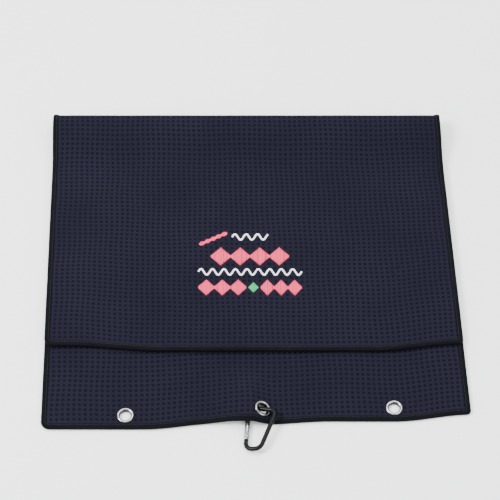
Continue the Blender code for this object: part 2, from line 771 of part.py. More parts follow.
def add_pivot(name, place, pieces):
    """An empty on a joint's axis, with the pieces that turn about it as its children."""
    pivot = bpy.data.objects.new(name, None)
    bpy.context.scene.collection.objects.link(pivot)
    pivot.matrix_world = place
    for piece in pieces:
        piece.parent = pivot
        piece.matrix_parent_inverse = place.inverted()
    return pivot


def add_pivots():
    made = bpy.data.objects
    flap = [made["front_flap"], made["flap_binding"]]
    flap += [piece for piece in made if piece.name.startswith("embroidery_")]
    add_pivot("flap_fold_axis", Matrix.Translation((0, FOLD_Y, AXIS_Z)), flap)
    gate = [made[name] for name in ("carabiner_gate", "gate_latch_pin", "gate_plunger", "gate_spring")]
    hinge = add_pivot("gate_hinge_axis", carabiner_matrix(), gate)
    swivel = Matrix.Translation((*eyelet_place(0), CENTRE_EYELET_HEIGHT))
    clip = [made["carabiner_frame"], made["gate_hinge_rivet"], hinge]
    add_pivot("carabiner_swivel_axis", swivel, clip)


def main():
    for old in list(bpy.data.objects):
        bpy.data.objects.remove(old)
    cloth = material("navy_waffle_cloth", (0.018, 0.019, 0.034), 0.95)
    tape = material("black_binding_tape", (0.014, 0.014, 0.018), 0.8)
    nickel = material("nickel", (0.66, 0.66, 0.65), 0.25, 1.0)
    black = material("black_anodised", (0.02, 0.02, 0.022), 0.35, 0.6)
    silver = material("bare_aluminium", (0.78, 0.78, 0.78), 0.3, 1.0)
    steel = material("steel", (0.6, 0.6, 0.6), 0.3, 1.0)
    pink = material("pink_thread", (0.9, 0.17, 0.26), 0.5)
    white = material("white_thread", (0.9, 0.9, 0.9), 0.5)
    green = material("green_thread", (0.06, 0.6, 0.22), 0.5)
    add_towel(cloth, tape)
    add_eyelets(nickel)
    add_carabiner(black, silver, steel)
    add_embroidery(pink, white, green)
    add_pivots()


main()
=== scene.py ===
"""Looks of a folded waffle golf towel: pitted cloth, stitched binding, embroidery and metal fittings."""

import json
import math

import bmesh
import bpy
import numpy as np
from mathutils import Matrix, Vector


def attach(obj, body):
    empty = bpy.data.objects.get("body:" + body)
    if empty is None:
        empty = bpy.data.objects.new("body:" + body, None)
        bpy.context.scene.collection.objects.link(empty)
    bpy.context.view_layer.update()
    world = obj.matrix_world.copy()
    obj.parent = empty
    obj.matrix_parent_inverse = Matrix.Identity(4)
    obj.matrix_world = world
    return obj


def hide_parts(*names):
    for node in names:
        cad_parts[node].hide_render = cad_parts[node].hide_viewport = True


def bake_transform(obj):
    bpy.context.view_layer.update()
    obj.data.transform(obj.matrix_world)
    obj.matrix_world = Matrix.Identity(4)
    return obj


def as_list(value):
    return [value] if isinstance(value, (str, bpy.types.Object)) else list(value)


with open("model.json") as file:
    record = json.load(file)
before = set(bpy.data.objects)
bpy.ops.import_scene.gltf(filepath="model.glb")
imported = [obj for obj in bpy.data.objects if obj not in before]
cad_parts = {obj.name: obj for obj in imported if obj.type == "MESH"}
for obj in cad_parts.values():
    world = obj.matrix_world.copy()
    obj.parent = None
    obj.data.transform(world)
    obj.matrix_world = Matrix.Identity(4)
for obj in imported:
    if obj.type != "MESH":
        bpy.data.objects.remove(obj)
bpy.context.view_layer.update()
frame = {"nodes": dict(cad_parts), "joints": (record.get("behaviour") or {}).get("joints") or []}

# The towel's shape, in metres, as in the CAD model.
TOWEL_WIDTH = 0.406
BACK_DEPTH = 0.3515
FLAP_DEPTH = 0.2765
CLOTH_THICKNESS = 0.0020
FOLD_CENTRE_X = -0.00477
FOLD_HEIGHT = 0.022
FOLD_RISE_LENGTH = 0.062
FOLD_RISE_SKEW = 1.2
SIDE_LEAN = 0.028
LAYER_CLEARANCE = 0.0003
ROLL_OVERRUN = 0.0008
HEM_DROP_LEFT = 0.0085
HEM_DROP_START = 0.020
HEM_DROP_LENGTH = 0.085
HEM_RISE_RIGHT = 0.0075
HEM_RISE_START = 0.130
HEM_RISE_LENGTH = 0.073
HEM_DIP = 0.0034
HEM_DIP_X = 0.0010
HEM_DIP_LENGTH = 0.070
FLAP_RISE_LEFT = 0.0060
FLAP_RISE_LEFT_START = 0.090
FLAP_RISE_RIGHT = 0.0085
FLAP_RISE_RIGHT_START = 0.115
FLAP_RISE_LENGTH = 0.088
BINDING_WIDTH = 0.0052
BINDING_THICKNESS = 0.0035
CLOTH_INSET = 0.0020
CORNER_LEFT = 0.0080
CORNER_RIGHT = 0.0045
EYELET_INSET = 0.0140
EYELET_SPACING = 0.1270
EYELET_SHIFT = 0.0035
CENTRE_EYELET_SHIFT = 0.0020
EYELET_BORE_RADIUS = 0.0053
EYELET_WALL = 0.0005
EYELET_FLANGE_RADIUS = 0.0080
EYELET_CROWN = 0.0010
WASHER_THICKNESS = 0.0005
SEAT_CLEARANCE = 0.00025
CENTRE_EYELET_TILT = math.radians(27.0)
LIFT_LEFT_LENGTH = 0.050
LIFT_BACK_LENGTH = 0.046
LIFT_AT_HEM = 0.80

HALF_WIDTH = TOWEL_WIDTH / 2
BACK_MID = BINDING_THICKNESS / 2
FLAP_MID = BACK_MID + BINDING_THICKNESS + LAYER_CLEARANCE
ROLL_RADIUS = (FOLD_HEIGHT - BINDING_THICKNESS) / 2
ROLL_LENGTH = math.pi * ROLL_RADIUS
FLANGE_PLANE = EYELET_INSET - BINDING_WIDTH
BARREL_RADIUS = EYELET_BORE_RADIUS + EYELET_WALL
EYELETS = {-1: "left", 0: "centre", 1: "right"}

joints = {joint["name"]: joint for joint in frame["joints"]}
_, FOLD_Y, AXIS_Z = joints["flap_fold"]["pos_m"]
CENTRE_EYELET_HEIGHT = joints["carabiner_swivel"]["pos_m"][2]

# Waffle weave.
CELL_ACROSS = 0.0053
CELL_ALONG = 0.0051
PIT_OPENING = 0.64
PIT_FLOOR = 0.34
PIT_DEPTH = 0.00062
RIDGE_SAG = 0.00010
# Painted shade at a pit's rim, as a share of that on its floor.
RIM_SHADE_SHARE = 0.12
# How the weave's lines wander: how far, how often, and how much and how often that shifts.
WEAVE_DRIFT_ACROSS = (0.00045, 95, 3, 23)
WEAVE_DRIFT_ALONG = (0.00040, 71, 2.1, 31)
WEAVE_JITTER = 0.00009
PIT_DEPTH_SPREAD = 0.06
PIT_OPENING_SPREAD = 0.012
BACK_SWELL = 0.0007
BACK_SWELL_PHASE = 0.6
FLAP_SWELL = 0.0013
FLAP_SWELL_PHASE = 4.1
SWELL_FADE = 0.03
SWELL_STAGGER = 2.3
SWELL_WAVES = ((0.17, 0.35), (0.115, 1.9), (0.078, 2.75), (0.22, 1.1))  # each a length and a heading

# Binding tape and its stitches.
STITCH_PITCH = 0.0030
STITCH_INSET = 0.0041
STITCH_RADIUS = 0.00017
STITCH_PULL = 0.00016
STITCH_PULL_REACH = 0.0008
STEADY_PULL = 0.35
THREAD_SINK = 0.6
TAPE_HALF = BINDING_THICKNESS / 2
TAPE_LINING = 0.00106
LINING_INSET = 0.0007
TAPE_CROWN = ((0.0046, 0.00013), (0.0036, 0.00005), (0.0026, 0.0), (0.0014, 0.00002))
NOSE_LENGTH = 0.0009
NOSE_HEIGHT = 0.985 * TAPE_HALF
MERGE_DISTANCE = 1e-6
THREAD_SIDES = 6
STITCH_PLACES = np.array((-0.36, -0.22, 0.0, 0.22, 0.36))
STITCH_RISES = np.array((-0.00018, 0.00006, 0.00012, 0.00006, -0.00018))
STITCH_SHARES = np.array((0.7, 1.0, 1.1, 1.0, 0.7))


def smoothstep(t):
    t = np.clip(t, 0.0, 1.0)
    return t * t * (3 - 2 * t)


# Camera, floor and lights.

CAMERA_ELEVATION = math.radians(55)
CAMERA_DISTANCE = 1.729
CAMERA_LENS = 123.5
CAMERA_TARGET = Vector((-0.00107, 0.03343, 0.0))
FLOOR_WIDTH = 12.0
FLOOR_DROP = 0.0002


def look_at(made, target):
    direction = Vector(target) - made.location
    made.rotation_euler = direction.to_track_quat("-Z", "Y").to_euler()


def add_camera():
    data = bpy.data.cameras.new("camera")
    data.lens = CAMERA_LENS
    data.sensor_width = 36.0
    data.clip_end = 20.0
    made = bpy.data.objects.new("camera", data)
    back = Vector((0, -math.cos(CAMERA_ELEVATION), math.sin(CAMERA_ELEVATION)))
    made.location = CAMERA_TARGET + back * CAMERA_DISTANCE
    look_at(made, CAMERA_TARGET)
    bpy.context.scene.collection.objects.link(made)
    bpy.context.scene.camera = made


def add_area_light(name, place, size, power):
    data = bpy.data.lights.new(name, "AREA")
    data.shape = "DISK"
    data.size = size
    data.energy = power
    made = bpy.data.objects.new(name, data)
    made.location = place
    look_at(made, (0, 0, 0))
    bpy.context.scene.collection.objects.link(made)


def add_floor():
    half = FLOOR_WIDTH / 2
    mesh = bpy.data.meshes.new("floor")
    corners = [(-half, -half, 0), (half, -half, 0), (half, half, 0), (-half, half, 0)]
    mesh.from_pydata(corners, [], [(0, 1, 2, 3)])
    floor = bpy.data.objects.new("floor", mesh)
    floor.location.z = -FLOOR_DROP
    bpy.context.scene.collection.objects.link(floor)
    paint = bpy.data.materials.new("floor_paint")
    paint.use_nodes = True
    shader = paint.node_tree.nodes["Principled BSDF"]
    shader.inputs["Base Color"].default_value = (0.97, 0.97, 0.97, 1)
    shader.inputs["Roughness"].default_value = 0.9
    mesh.materials.append(paint)


def add_studio():
    world = bpy.data.worlds.new("studio")
    world.use_nodes = True
    background = world.node_tree.nodes["Background"]
    background.inputs["Color"].default_value = (0.93, 0.96, 1.0, 1)
    background.inputs["Strength"].default_value = 1.5
    bpy.context.scene.world = world
    add_area_light("key", (-1.4, -0.2, 1.7), 0.9, 72)
    add_area_light("fill", (1.5, -1.0, 1.6), 1.6, 27)
    add_area_light("top", (0.1, 0.9, 2.2), 1.4, 46)
    add_floor()


# Material helpers.


class Nodes:
    """Short names for building one material's node tree."""

    def __init__(self, name):
        self.material = bpy.data.materials.new(name)
        self.material.use_nodes = True
        self.tree = self.material.node_tree
        self.shader = self.tree.nodes["Principled BSDF"]
        self.coords = self.add("ShaderNodeTexCoord")

    def add(self, kind, **values):
        made = self.tree.nodes.new(kind)
        for key, value in values.items():
            setattr(made, key, value)
        return made

    def give(self, socket, value):
        """Sets a socket to a number or a colour, or links another node's output to it."""
        if isinstance(value, (int, float)):
            socket.default_value = value
        elif isinstance(value, tuple):
            socket.default_value = (*value, 1)
        else:
            self.tree.links.new(value, socket)

    def noise(self, scale, detail, stretch=(1, 1, 1)):
        mapping = self.add("ShaderNodeMapping")
        mapping.inputs["Scale"].default_value = stretch
        self.give(mapping.inputs["Vector"], self.coords.outputs["Object"])
        made = self.add("ShaderNodeTexNoise")
        made.inputs["Scale"].default_value = scale
        made.inputs["Detail"].default_value = detail
        self.give(made.inputs["Vector"], mapping.outputs["Vector"])
        return made.outputs["Fac"]

    def attribute(self, name):
        return self.add("ShaderNodeAttribute", attribute_name=name).outputs["Fac"]

    def ramp(self, source, *stops):
        """Blends two stops, each a position and a colour."""
        made = self.add("ShaderNodeValToRGB")
        for element, (position, colour) in zip(made.color_ramp.elements, stops):
            element.position = position
            element.color = (*colour, 1)
        self.give(made.inputs["Fac"], source)
        return made.outputs["Color"]

    def mix(self, amount, first, second):
        made = self.add("ShaderNodeMix", data_type="RGBA")
        sockets = {socket.identifier: socket for socket in (*made.inputs, *made.outputs)}
        self.give(sockets["Factor_Float"], amount)
        self.give(sockets["A_Color"], first)
        self.give(sockets["B_Color"], second)
        return sockets["Result_Color"]

    def math(self, operation, first, second):
        made = self.add("ShaderNodeMath", operation=operation)
        for socket, value in zip(made.inputs, (first, second)):
            self.give(socket, value)
        return made.outputs["Value"]

    def span(self, source, low, high):
        made = self.add("ShaderNodeMapRange")
        made.inputs["To Min"].default_value = low
        made.inputs["To Max"].default_value = high
        self.give(made.inputs["Value"], source)
        return made.outputs["Result"]

    def bump(self, height, distance, strength, under=None):
        made = self.add("ShaderNodeBump")
        made.inputs["Distance"].default_value = distance
        made.inputs["Strength"].default_value = strength
        self.give(made.inputs["Height"], height)
        if under is not None:
            self.give(made.inputs["Normal"], under)
        return made.outputs["Normal"]

    def set(self, **values):
        for key, value in values.items():
            self.give(self.shader.inputs[key.replace("_", " ")], value)
        return self.material


def waffle_material():
    """Navy microfibre: lighter ridges, each pit darkened by painted shade, fibres and slow patches of tone.
    """
    n = Nodes("waffle_cloth")
    pit = n.attribute("pit")
    patch = n.noise(14.0, 3.0)
    fibre = n.noise(2400.0, 2.0)
    tone = n.ramp(patch, (0.30, (0.0044, 0.0042, 0.0086)), (0.70, (0.0068, 0.0062, 0.0122)))
    ridge = n.mix(n.span(fibre, 0.0, 0.5), tone, (0.0120, 0.0112, 0.0215))
    # Painted shade: the pit attribute turns pit floors, and a little of their rims, to a darker colour for
    # the shadow down in them.
    colour = n.mix(pit, ridge, (0.0024, 0.0025, 0.0066))
    yarn = n.noise(1100.0, 1.0, (1.0, 0.35, 1.0))
    normal = n.bump(fibre, 0.00012, 0.6, n.bump(yarn, 0.0002, 0.5))
    return n.set(
        Base_Color=colour,
        Roughness=n.span(fibre, 0.82, 1.0),
        Normal=normal,
        Sheen_Weight=0.04,
        Sheen_Roughness=0.5,
        Sheen_Tint=(0.35, 0.36, 0.60),
        Specular_IOR_Level=0.06,
    )


def tape_material():
    """Black woven tape: fine ribs across it, their crowns a little lighter grey as a painted highlight."""
    n = Nodes("binding_tape")
    rib = n.add("ShaderNodeTexWave", wave_type="BANDS", bands_direction="X")
    rib.inputs["Scale"].default_value = 1.0
    joined = n.add("ShaderNodeCombineXYZ")
    n.give(joined.inputs["X"], n.math("MULTIPLY", n.attribute("along"), 400.0))
    n.give(rib.inputs["Vector"], joined.outputs["Vector"])
    fibre = n.noise(2600.0, 2.0)
    patch = n.noise(60.0, 2.0)
    colour = n.ramp(patch, (0.3, (0.0014, 0.0014, 0.0024)), (0.75, (0.0026, 0.0026, 0.0042)))
    # Painted highlight: the ribs' crowns are coloured lighter grey, following the same rib wave as the bump.
    colour = n.mix(n.span(rib.outputs["Fac"], 0.0, 0.35), colour, (0.0048, 0.0048, 0.0074))
    normal = n.bump(rib.outputs["Fac"], 0.00008, 0.7, n.bump(fibre, 0.00006, 0.5))
    return n.set(
        Base_Color=colour,
        Roughness=n.span(fibre, 0.7, 0.92),
        Normal=normal,
        Sheen_Weight=0.02,
        Sheen_Roughness=0.5,
        Specular_IOR_Level=0.05,
    )


def thread_material(name, dark, light):
    """Polyester embroidery thread: twisted, glossy, with painted shade making it darker down between the
    stitches.
    """
    n = Nodes(name)
    depth = n.attribute("crown")
    twist = n.noise(1800.0, 1.0)
    # Painted shade: the dark colour where the thread dips toward the cloth, the light colour up on its crown.
    colour = n.mix(depth, dark, light)
    colour = n.mix(n.span(twist, 0.0, 0.35), colour, tuple(0.82 * c for c in light))
    return n.set(
        Base_Color=colour,
        Roughness=n.span(twist, 0.38, 0.58),
        Normal=n.bump(twist, 0.00008, 0.5),
        Specular_IOR_Level=0.3,
    )


def stitch_material():
    """The binding's black sewing thread."""
    n = Nodes("stitch_thread")
    twist = n.noise(2200.0, 1.0)
    colour = n.ramp(twist, (0.3, (0.0020, 0.0020, 0.0030)), (0.7, (0.0050, 0.0050, 0.0068)))
    normal = n.bump(twist, 0.00006, 0.6)
    return n.set(Base_Color=colour, Roughness=n.span(twist, 0.45, 0.65), Normal=normal)


def metal_material(name, dark, light, rough, scratch, hollow_shade=None):
    """Plated or bare metal, drifting in tone and roughness, scratched, and painted darker down in a recess as
    painted shade.
    """
    n = Nodes(name)
    patch = n.noise(420.0, 3.0)
    scratches = n.noise(1500.0, 2.0, (1.0, 0.06, 1.0))
    colour = n.ramp(patch, (0.35, dark), (0.7, light))
    # Painted shade: the colour falls to the given shade colour where the crown attribute falls to 0, down in
    # the bore.
    if hollow_shade is not None:
        colour = n.mix(n.attribute("crown"), hollow_shade, colour)
    roughness = n.math("ADD", n.span(patch, rough[0], rough[1]), n.span(scratches, 0.0, 0.12 * scratch))
    return n.set(
        Base_Color=colour,
        Metallic=1.0,
        Roughness=roughness,
        Normal=n.bump(scratches, 0.00002, scratch),
    )


def anodised_material():
    """Satin black anodising, rubbed a little."""
    n = Nodes("black_anodised")
    patch = n.noise(300.0, 3.0)
    scratches = n.noise(1200.0, 2.0, (1.0, 0.2, 1.0))
    colour = n.ramp(patch, (0.35, (0.0012, 0.0012, 0.0013)), (0.8, (0.0030, 0.0030, 0.0032)))
    return n.set(
        Base_Color=colour,
        Roughness=n.math("ADD", n.span(patch, 0.22, 0.36), n.span(scratches, 0.0, 0.1)),
        Normal=n.bump(scratches, 0.00003, 0.35),
        Specular_IOR_Level=0.14,
    )


# Surfaces: P runs across the towel, and Q from a hem to the fold. Each gives points and normals.


def hem_line(p):
    drop = HEM_DROP_LEFT * smoothstep((-p - HEM_DROP_START) / HEM_DROP_LENGTH)
    rise = HEM_RISE_RIGHT * smoothstep((p - HEM_RISE_START) / HEM_RISE_LENGTH)
    dip = HEM_DIP * (1 - smoothstep(abs(p - HEM_DIP_X) / HEM_DIP_LENGTH))
    return rise - drop - dip


def flap_line(p):
    left = FLAP_RISE_LEFT * smoothstep((-p - FLAP_RISE_LEFT_START) / FLAP_RISE_LENGTH)
    right = FLAP_RISE_RIGHT * smoothstep((p - FLAP_RISE_RIGHT_START) / FLAP_RISE_LENGTH)
    return left + right


def plan(p, q, depth, line):
    y = FOLD_Y - (depth - q) + line(p) * (1 - q / depth)
    x = FOLD_CENTRE_X + SIDE_LEAN * (FOLD_Y - y) + p
    return x, y


def eyelet_place(number):
    across = EYELET_SHIFT + number * EYELET_SPACING
    if number == 0:
        across += CENTRE_EYELET_SHIFT
    return plan(across, EYELET_INSET, BACK_DEPTH, hem_line)


def lift(x, y):
    """How far the cloth is raised where it rides over the carabiner and through the centre eyelet."""
    centre_x, centre_y = eyelet_place(0)
    slope = math.tan(CENTRE_EYELET_TILT)
    centre = CENTRE_EYELET_HEIGHT - BACK_MID
    across = x - centre_x
    peak = centre + FLANGE_PLANE * slope
    plane = np.maximum(0.0, centre - across * slope)
    height = np.where(
        across > -FLANGE_PLANE,
        plane,
        peak * (1 - smoothstep((-FLANGE_PLANE - across) / LIFT_LEFT_LENGTH)),
    )
    along = y - centre_y
    return height * np.where(
        along < -FLANGE_PLANE,
        1 + (LIFT_AT_HEM - 1) * (-FLANGE_PLANE - along) / BINDING_WIDTH,
        1 - smoothstep((along - FLANGE_PLANE) / LIFT_BACK_LENGTH),
    )


def swell(x, y, phase):
    """0 to 1: slow swells in cloth that doesn't lie quite flat."""
    total = 0
    for number, (length, heading) in enumerate(SWELL_WAVES):
        along = x * math.cos(heading) + y * math.sin(heading)
        total = total + np.sin(2 * math.pi * along / length + phase + SWELL_STAGGER * number)
    return 0.5 + total / (2 * len(SWELL_WAVES))


def up_normals(x):
    return np.zeros((*x.shape, 3)) + (0.0, 0.0, 1.0)


def back_surface(p, q):
    x, y = plan(p, q, BACK_DEPTH, hem_line)
    rise = BACK_SWELL * swell(x, y, BACK_SWELL_PHASE) * smoothstep((FOLD_Y - y) / SWELL_FADE)
    for number in EYELETS:
        away = np.hypot(x - eyelet_place(number)[0], y - eyelet_place(number)[1])
        rise = rise * smoothstep((away - EYELET_FLANGE_RADIUS) / SWELL_FADE)
    return np.stack([x, y, BACK_MID + lift(x, y) + rise], axis=-1), up_normals(x)


def fold_rise(y):
    along = np.clip(1 - (FOLD_Y - y) / FOLD_RISE_LENGTH, 0.0, 1.0)
    return (FOLD_HEIGHT - BACK_MID - FLAP_MID) * smoothstep(along**FOLD_RISE_SKEW)


def flap_height(x, y):
    bulge = FLAP_SWELL * swell(x, y, FLAP_SWELL_PHASE) * smoothstep((FOLD_Y - y) / SWELL_FADE)
    return FLAP_MID + fold_rise(y) + bulge


def flap_surface(p, q):
    x, y = plan(p, q, FLAP_DEPTH, flap_line)
    return np.stack([x, y, flap_height(x, y)], axis=-1), up_normals(x)


def roll_surface(p, turn):
    """turn runs from 0 under the roll to 1 on top of it, and past both ends it runs on flat."""
    angle = math.pi * (np.clip(turn, 0.0, 1.0) - 0.5)
    inward = np.stack([np.zeros_like(angle), -np.cos(angle), -np.sin(angle)], axis=-1)
    straight = ROLL_LENGTH * np.maximum(np.maximum(-turn, turn - 1.0), 0.0)
    centre = np.stack([FOLD_CENTRE_X + p, FOLD_Y - straight, np.full_like(p, AXIS_Z)], axis=-1)
    return centre - inward * ROLL_RADIUS, inward


# Mesh helpers.


def add_mesh(name, points, faces, finish, smooth_angle=None, attributes=None, merge=None):
    """A smooth-shaded mesh with its faces turned outward. Points within merge of each other are joined."""
    mesh = bpy.data.meshes.new(name)
    mesh.from_pydata(np.asarray(points, float).tolist(), [], [list(map(int, face)) for face in faces])
    for key, values in (attributes or {}).items():
        layer = mesh.attributes.new(key, "FLOAT", "POINT")
        layer.data.foreach_set("value", np.asarray(values, np.float32))
    mesh.materials.append(finish)
    mesh.shade_smooth()
    if smooth_angle is not None:
        mesh.set_sharp_from_angle(angle=math.radians(smooth_angle))
    shape = bmesh.new()
    shape.from_mesh(mesh)
    if merge is not None:
        bmesh.ops.remove_doubles(shape, verts=shape.verts, dist=merge)
    bmesh.ops.recalc_face_normals(shape, faces=shape.faces)
    shape.to_mesh(mesh)
    shape.free()
    made = bpy.data.objects.new(name, mesh)
    bpy.context.scene.collection.objects.link(made)
    return made


def apply_modifiers(made):
    graph = bpy.context.evaluated_depsgraph_get()
    mesh = bpy.data.meshes.new_from_object(made.evaluated_get(graph))
    made.modifiers.clear()
    made.data = mesh


def cut(target, cutters, operation="DIFFERENCE", solver="EXACT"):
    for cutter in cutters:
        step = target.modifiers.new(cutter.name, "BOOLEAN")
        step.operation = operation
        step.solver = solver
        step.object = cutter
    apply_modifiers(target)
    for cutter in cutters:
        bpy.data.objects.remove(cutter)


def turned(profile, sides, closed):
    """Points and faces of (radius, height) pairs turned about Z: a closed ring, or a capped rod."""
    size = len(profile)
    angles = 2 * math.pi * np.arange(sides) / sides
    radius, height = np.array(profile).T
    x, y = np.outer(np.cos(angles), radius), np.outer(np.sin(angles), radius)
    points = np.stack([x, y, np.tile(height, (sides, 1))], axis=-1).reshape(-1, 3)
    faces = []
    for step in range(sides):
        first, second = step * size, (step + 1) % sides * size
        for corner in range(size if closed else size - 1):
            after = (corner + 1) % size
            faces.append((first + corner, first + after, second + after, second + corner))
    if not closed:
        faces.append([step * size for step in range(sides)])
        faces.append([step * size + size - 1 for step in range(sides)])
    return points, faces


def tubes(paths, normals, radii, sides):
    """Many tubes at once: paths (count, steps, 3), a normal for each point, a radius for each step."""
    count, steps, _ = paths.shape
    tangent = np.gradient(paths, axis=1)
    tangent /= np.linalg.norm(tangent, axis=-1, keepdims=True)
    across = np.cross(tangent, normals)
    across /= np.linalg.norm(across, axis=-1, keepdims=True)
    upward = np.cross(across, tangent)
    angles = 2 * math.pi * (np.arange(sides) + 0.5) / sides
    spread = np.cos(angles)[:, None] * across[:, :, None] + np.sin(angles)[:, None] * upward[:, :, None]
    points = (paths[:, :, None] + spread * np.asarray(radii)[None, :, None, None]).reshape(-1, 3)
    faces = []
    for tube in range(count):
        base = tube * steps * sides
        for step in range(steps - 1):
            for side in range(sides):
                after = (side + 1) % sides
                low = base + step * sides
                faces.append((low + side, low + after, low + sides + after, low + sides + side))
        faces.append([base + side for side in reversed(range(sides))])
        faces.append([base + (steps - 1) * sides + side for side in range(sides)])
    return points, faces


# Waffle cloth.


def rounded_corner(p, q):
    """Maps the cloth's square hem corners smoothly onto its rounded ones."""
    radius = np.where(p < 0, CORNER_LEFT, CORNER_RIGHT)
    reach = radius - CLOTH_INSET
    a = np.clip((radius - (HALF_WIDTH - np.abs(p))) / reach, 0, 1)
    b = np.clip((radius - q) / reach, 0, 1)
    inside = (a > 0) & (b > 0)
    disc_a, disc_b = a * np.sqrt(1 - b * b / 2), b * np.sqrt(1 - a * a / 2)
    moved_p = np.sign(p) * (HALF_WIDTH - radius + disc_a * reach)
    return np.where(inside, moved_p, p), np.where(inside, radius - disc_b * reach, q)


def cell_lines(start, stop, step):
    """Evenly spread lines, as near to the step apart as a whole number of cells allows."""
    return np.linspace(start, stop, round(abs(stop - start) / step) + 1)


def drift(along, across, reach, rate, shift, shift_rate):
    return reach * np.sin(along * rate + shift * np.sin(across * shift_rate))


LOW, HIGH = slice(None, -1), slice(1, None)
# A cell's corners: where a grid holds each one, and which way each lies from the cell's middle.
CELL_CORNERS = ((LOW, LOW), (LOW, HIGH), (HIGH, HIGH), (HIGH, LOW))
CORNER_SIGNS = ((-1, -1), (1, -1), (1, 1), (-1, 1))


def waffle_faces(deep, wide):
    """Faces of a sheet of cells: a pit's floor, walls and ridges each, on both sides, and the edge."""
    grid = np.arange((deep + 1) * (wide + 1)).reshape(deep + 1, wide + 1)
    corner = np.stack([grid[at].ravel() for at in CELL_CORNERS])
    rim = grid.size + 4 * np.arange(deep * wide) + np.arange(4)[:, None]
    floor = rim + 4 * deep * wide
    faces = [floor.T]
    for side in range(4):
        after = (side + 1) % 4
        faces.append(np.stack([corner[side], corner[after], rim[after], rim[side]], axis=1))
        faces.append(np.stack([rim[side], rim[after], floor[after], floor[side]], axis=1))
    top = np.concatenate(faces)
    under = grid.size + 8 * deep * wide
    edge = np.concatenate([grid[0], grid[1:, -1], grid[-1, -2::-1], grid[-2:0:-1, 0]])
    after = np.roll(edge, -1)
    sides = np.stack([edge, edge + under, after + under, after], axis=1)
    return np.concatenate([top, top[:, ::-1] + under, sides])


def waffle(name, p_lines, q_lines, surface, finish, flat_cells=None, unit=1.0):
    """A cloth of pitted cells on both faces. unit is how far Q runs in a metre of cloth."""
    wide, deep = len(p_lines) - 1, len(q_lines) - 1
    half = CLOTH_THICKNESS / 2
    rng = np.random.default_rng(len(name) * 101)
    p_grid, q_grid = np.meshgrid(p_lines, q_lines)
    inner = np.ones_like(p_grid)
    inner[0], inner[-1], inner[:, 0], inner[:, -1] = 0, 0, 0, 0
    drift_p = drift(q_grid / unit, p_grid, *WEAVE_DRIFT_ACROSS) * inner
    drift_q = drift(p_grid, q_grid / unit, *WEAVE_DRIFT_ALONG) * inner
    p_grid = p_grid + drift_p + rng.normal(0, WEAVE_JITTER, p_grid.shape) * inner
    q_grid = q_grid + (drift_q + rng.normal(0, WEAVE_JITTER, q_grid.shape) * inner) * unit

    depth = 1 + rng.normal(0, PIT_DEPTH_SPREAD, (deep, wide))
    if flat_cells is not None:
        middles = [sum(grid[at] for at in CELL_CORNERS) / 4 for grid in (p_grid, q_grid)]
        centre = surface(*middles)[0]
        depth = depth * (1 - flat_cells(centre[..., 0], centre[..., 1]))
    opening = PIT_OPENING + rng.normal(0, PIT_OPENING_SPREAD, (deep, wide))

    def ring(share):
        """Four points round each cell's middle, at a share of the way to its corners."""
        made = []
        for a, b in CORNER_SIGNS:
            u, v = 0.5 + a * share / 2, 0.5 + b * share / 2
            weights = [(1 - u) * (1 - v), u * (1 - v), u * v, (1 - u) * v]
            shares = list(zip(weights, CELL_CORNERS))
            made.append([sum(weight * grid[at] for weight, at in shares) for grid in (p_grid, q_grid)])
        return np.array(made).transpose(1, 2, 3, 0)

    rim, floor = ring(opening), ring(PIT_FLOOR)
    p_all = np.concatenate([p_grid.ravel(), rim[0].ravel(), floor[0].ravel()])
    q_all = np.concatenate([q_grid.ravel(), rim[1].ravel(), floor[1].ravel()])
    depth = np.repeat(depth.ravel(), 4)
    sag = RIDGE_SAG * np.minimum(depth, 1)
    heights = np.concatenate([np.full(p_grid.size, half), half - sag, half - PIT_DEPTH * depth])
    # Painted shade for the cloth material: 0 on the ridges, a little at the rims, full on the pit floors.
    pits = np.concatenate([np.zeros(p_grid.size), RIM_SHADE_SHARE * depth, depth])
    middle, up = surface(*(rounded_corner(p_all, q_all) if unit == 1.0 else (p_all, q_all)))

    points = np.concatenate([middle + up * heights[:, None], middle - up * heights[:, None]])
    faces = waffle_faces(deep, wide)
    return add_mesh(name, points, faces, finish, attributes={"pit": np.concatenate([pits, pits])})


# Binding tape.


def tape_section():
    """(inset, height) round the folded tape: a padded outer edge and two lips stitched to the cloth."""
    lip = [(BINDING_WIDTH, TAPE_LINING), (BINDING_WIDTH + 0.00015, 0.00125), (BINDING_WIDTH, 0.00142)]
    crown = [(inset, TAPE_HALF - drop) for inset, drop in TAPE_CROWN]
    nose = []
    for angle in np.radians((62, 36, 12)):
        nose.append((NOSE_LENGTH * (1 - math.cos(angle)), NOSE_HEIGHT * math.sin(angle)))
    outer = lip + crown + nose
    lower = [(inset, -height) for inset, height in reversed(outer)]
    inner = [(LINING_INSET, -TAPE_LINING), (LINING_INSET, TAPE_LINING)]
    return outer + lower + inner


def edge_path(depth):
    """Maps a distance along the bound edge, and an inset from it, to P and Q. Also gives its length."""
    left, right = CORNER_LEFT, CORNER_RIGHT
    hem = TOWEL_WIDTH - left - right
    ends = np.cumsum([depth - left, math.pi / 2 * left, hem, math.pi / 2 * right, depth - right])

    def corner(radius, angle, inset):
        if inset > radius:
            return HALF_WIDTH - inset, inset
        reach = radius - inset
        return HALF_WIDTH - radius + reach * math.cos(angle), radius - reach * math.sin(angle)

    def place(s, inset):
        if s <= ends[0]:
            return -(HALF_WIDTH - inset), max(depth - s, inset if inset > left else 0)
        if s <= ends[1]:
            p, q = corner(left, (s - ends[0]) / left, inset)
            return -p, q
        if s <= ends[2]:
            p = -HALF_WIDTH + left + (s - ends[1])
            return min(p, HALF_WIDTH - max(inset, right)), inset
        if s <= ends[3]:
            return corner(right, math.pi / 2 - (s - ends[2]) / right, inset)
        return HALF_WIDTH - inset, max(right + s - ends[3], inset if inset > right else 0)

    return place, ends[-1]


def pull(distance, inset):
    """How far the stitches draw the tape in, along its length and across it."""
    along = 0.5 + 0.5 * np.cos(2 * math.pi * distance / STITCH_PITCH)
    across = np.exp(-(((inset - STITCH_INSET) / STITCH_PULL_REACH) ** 2))
    return STITCH_PULL * across * (STEADY_PULL + (1 - STEADY_PULL) * along)


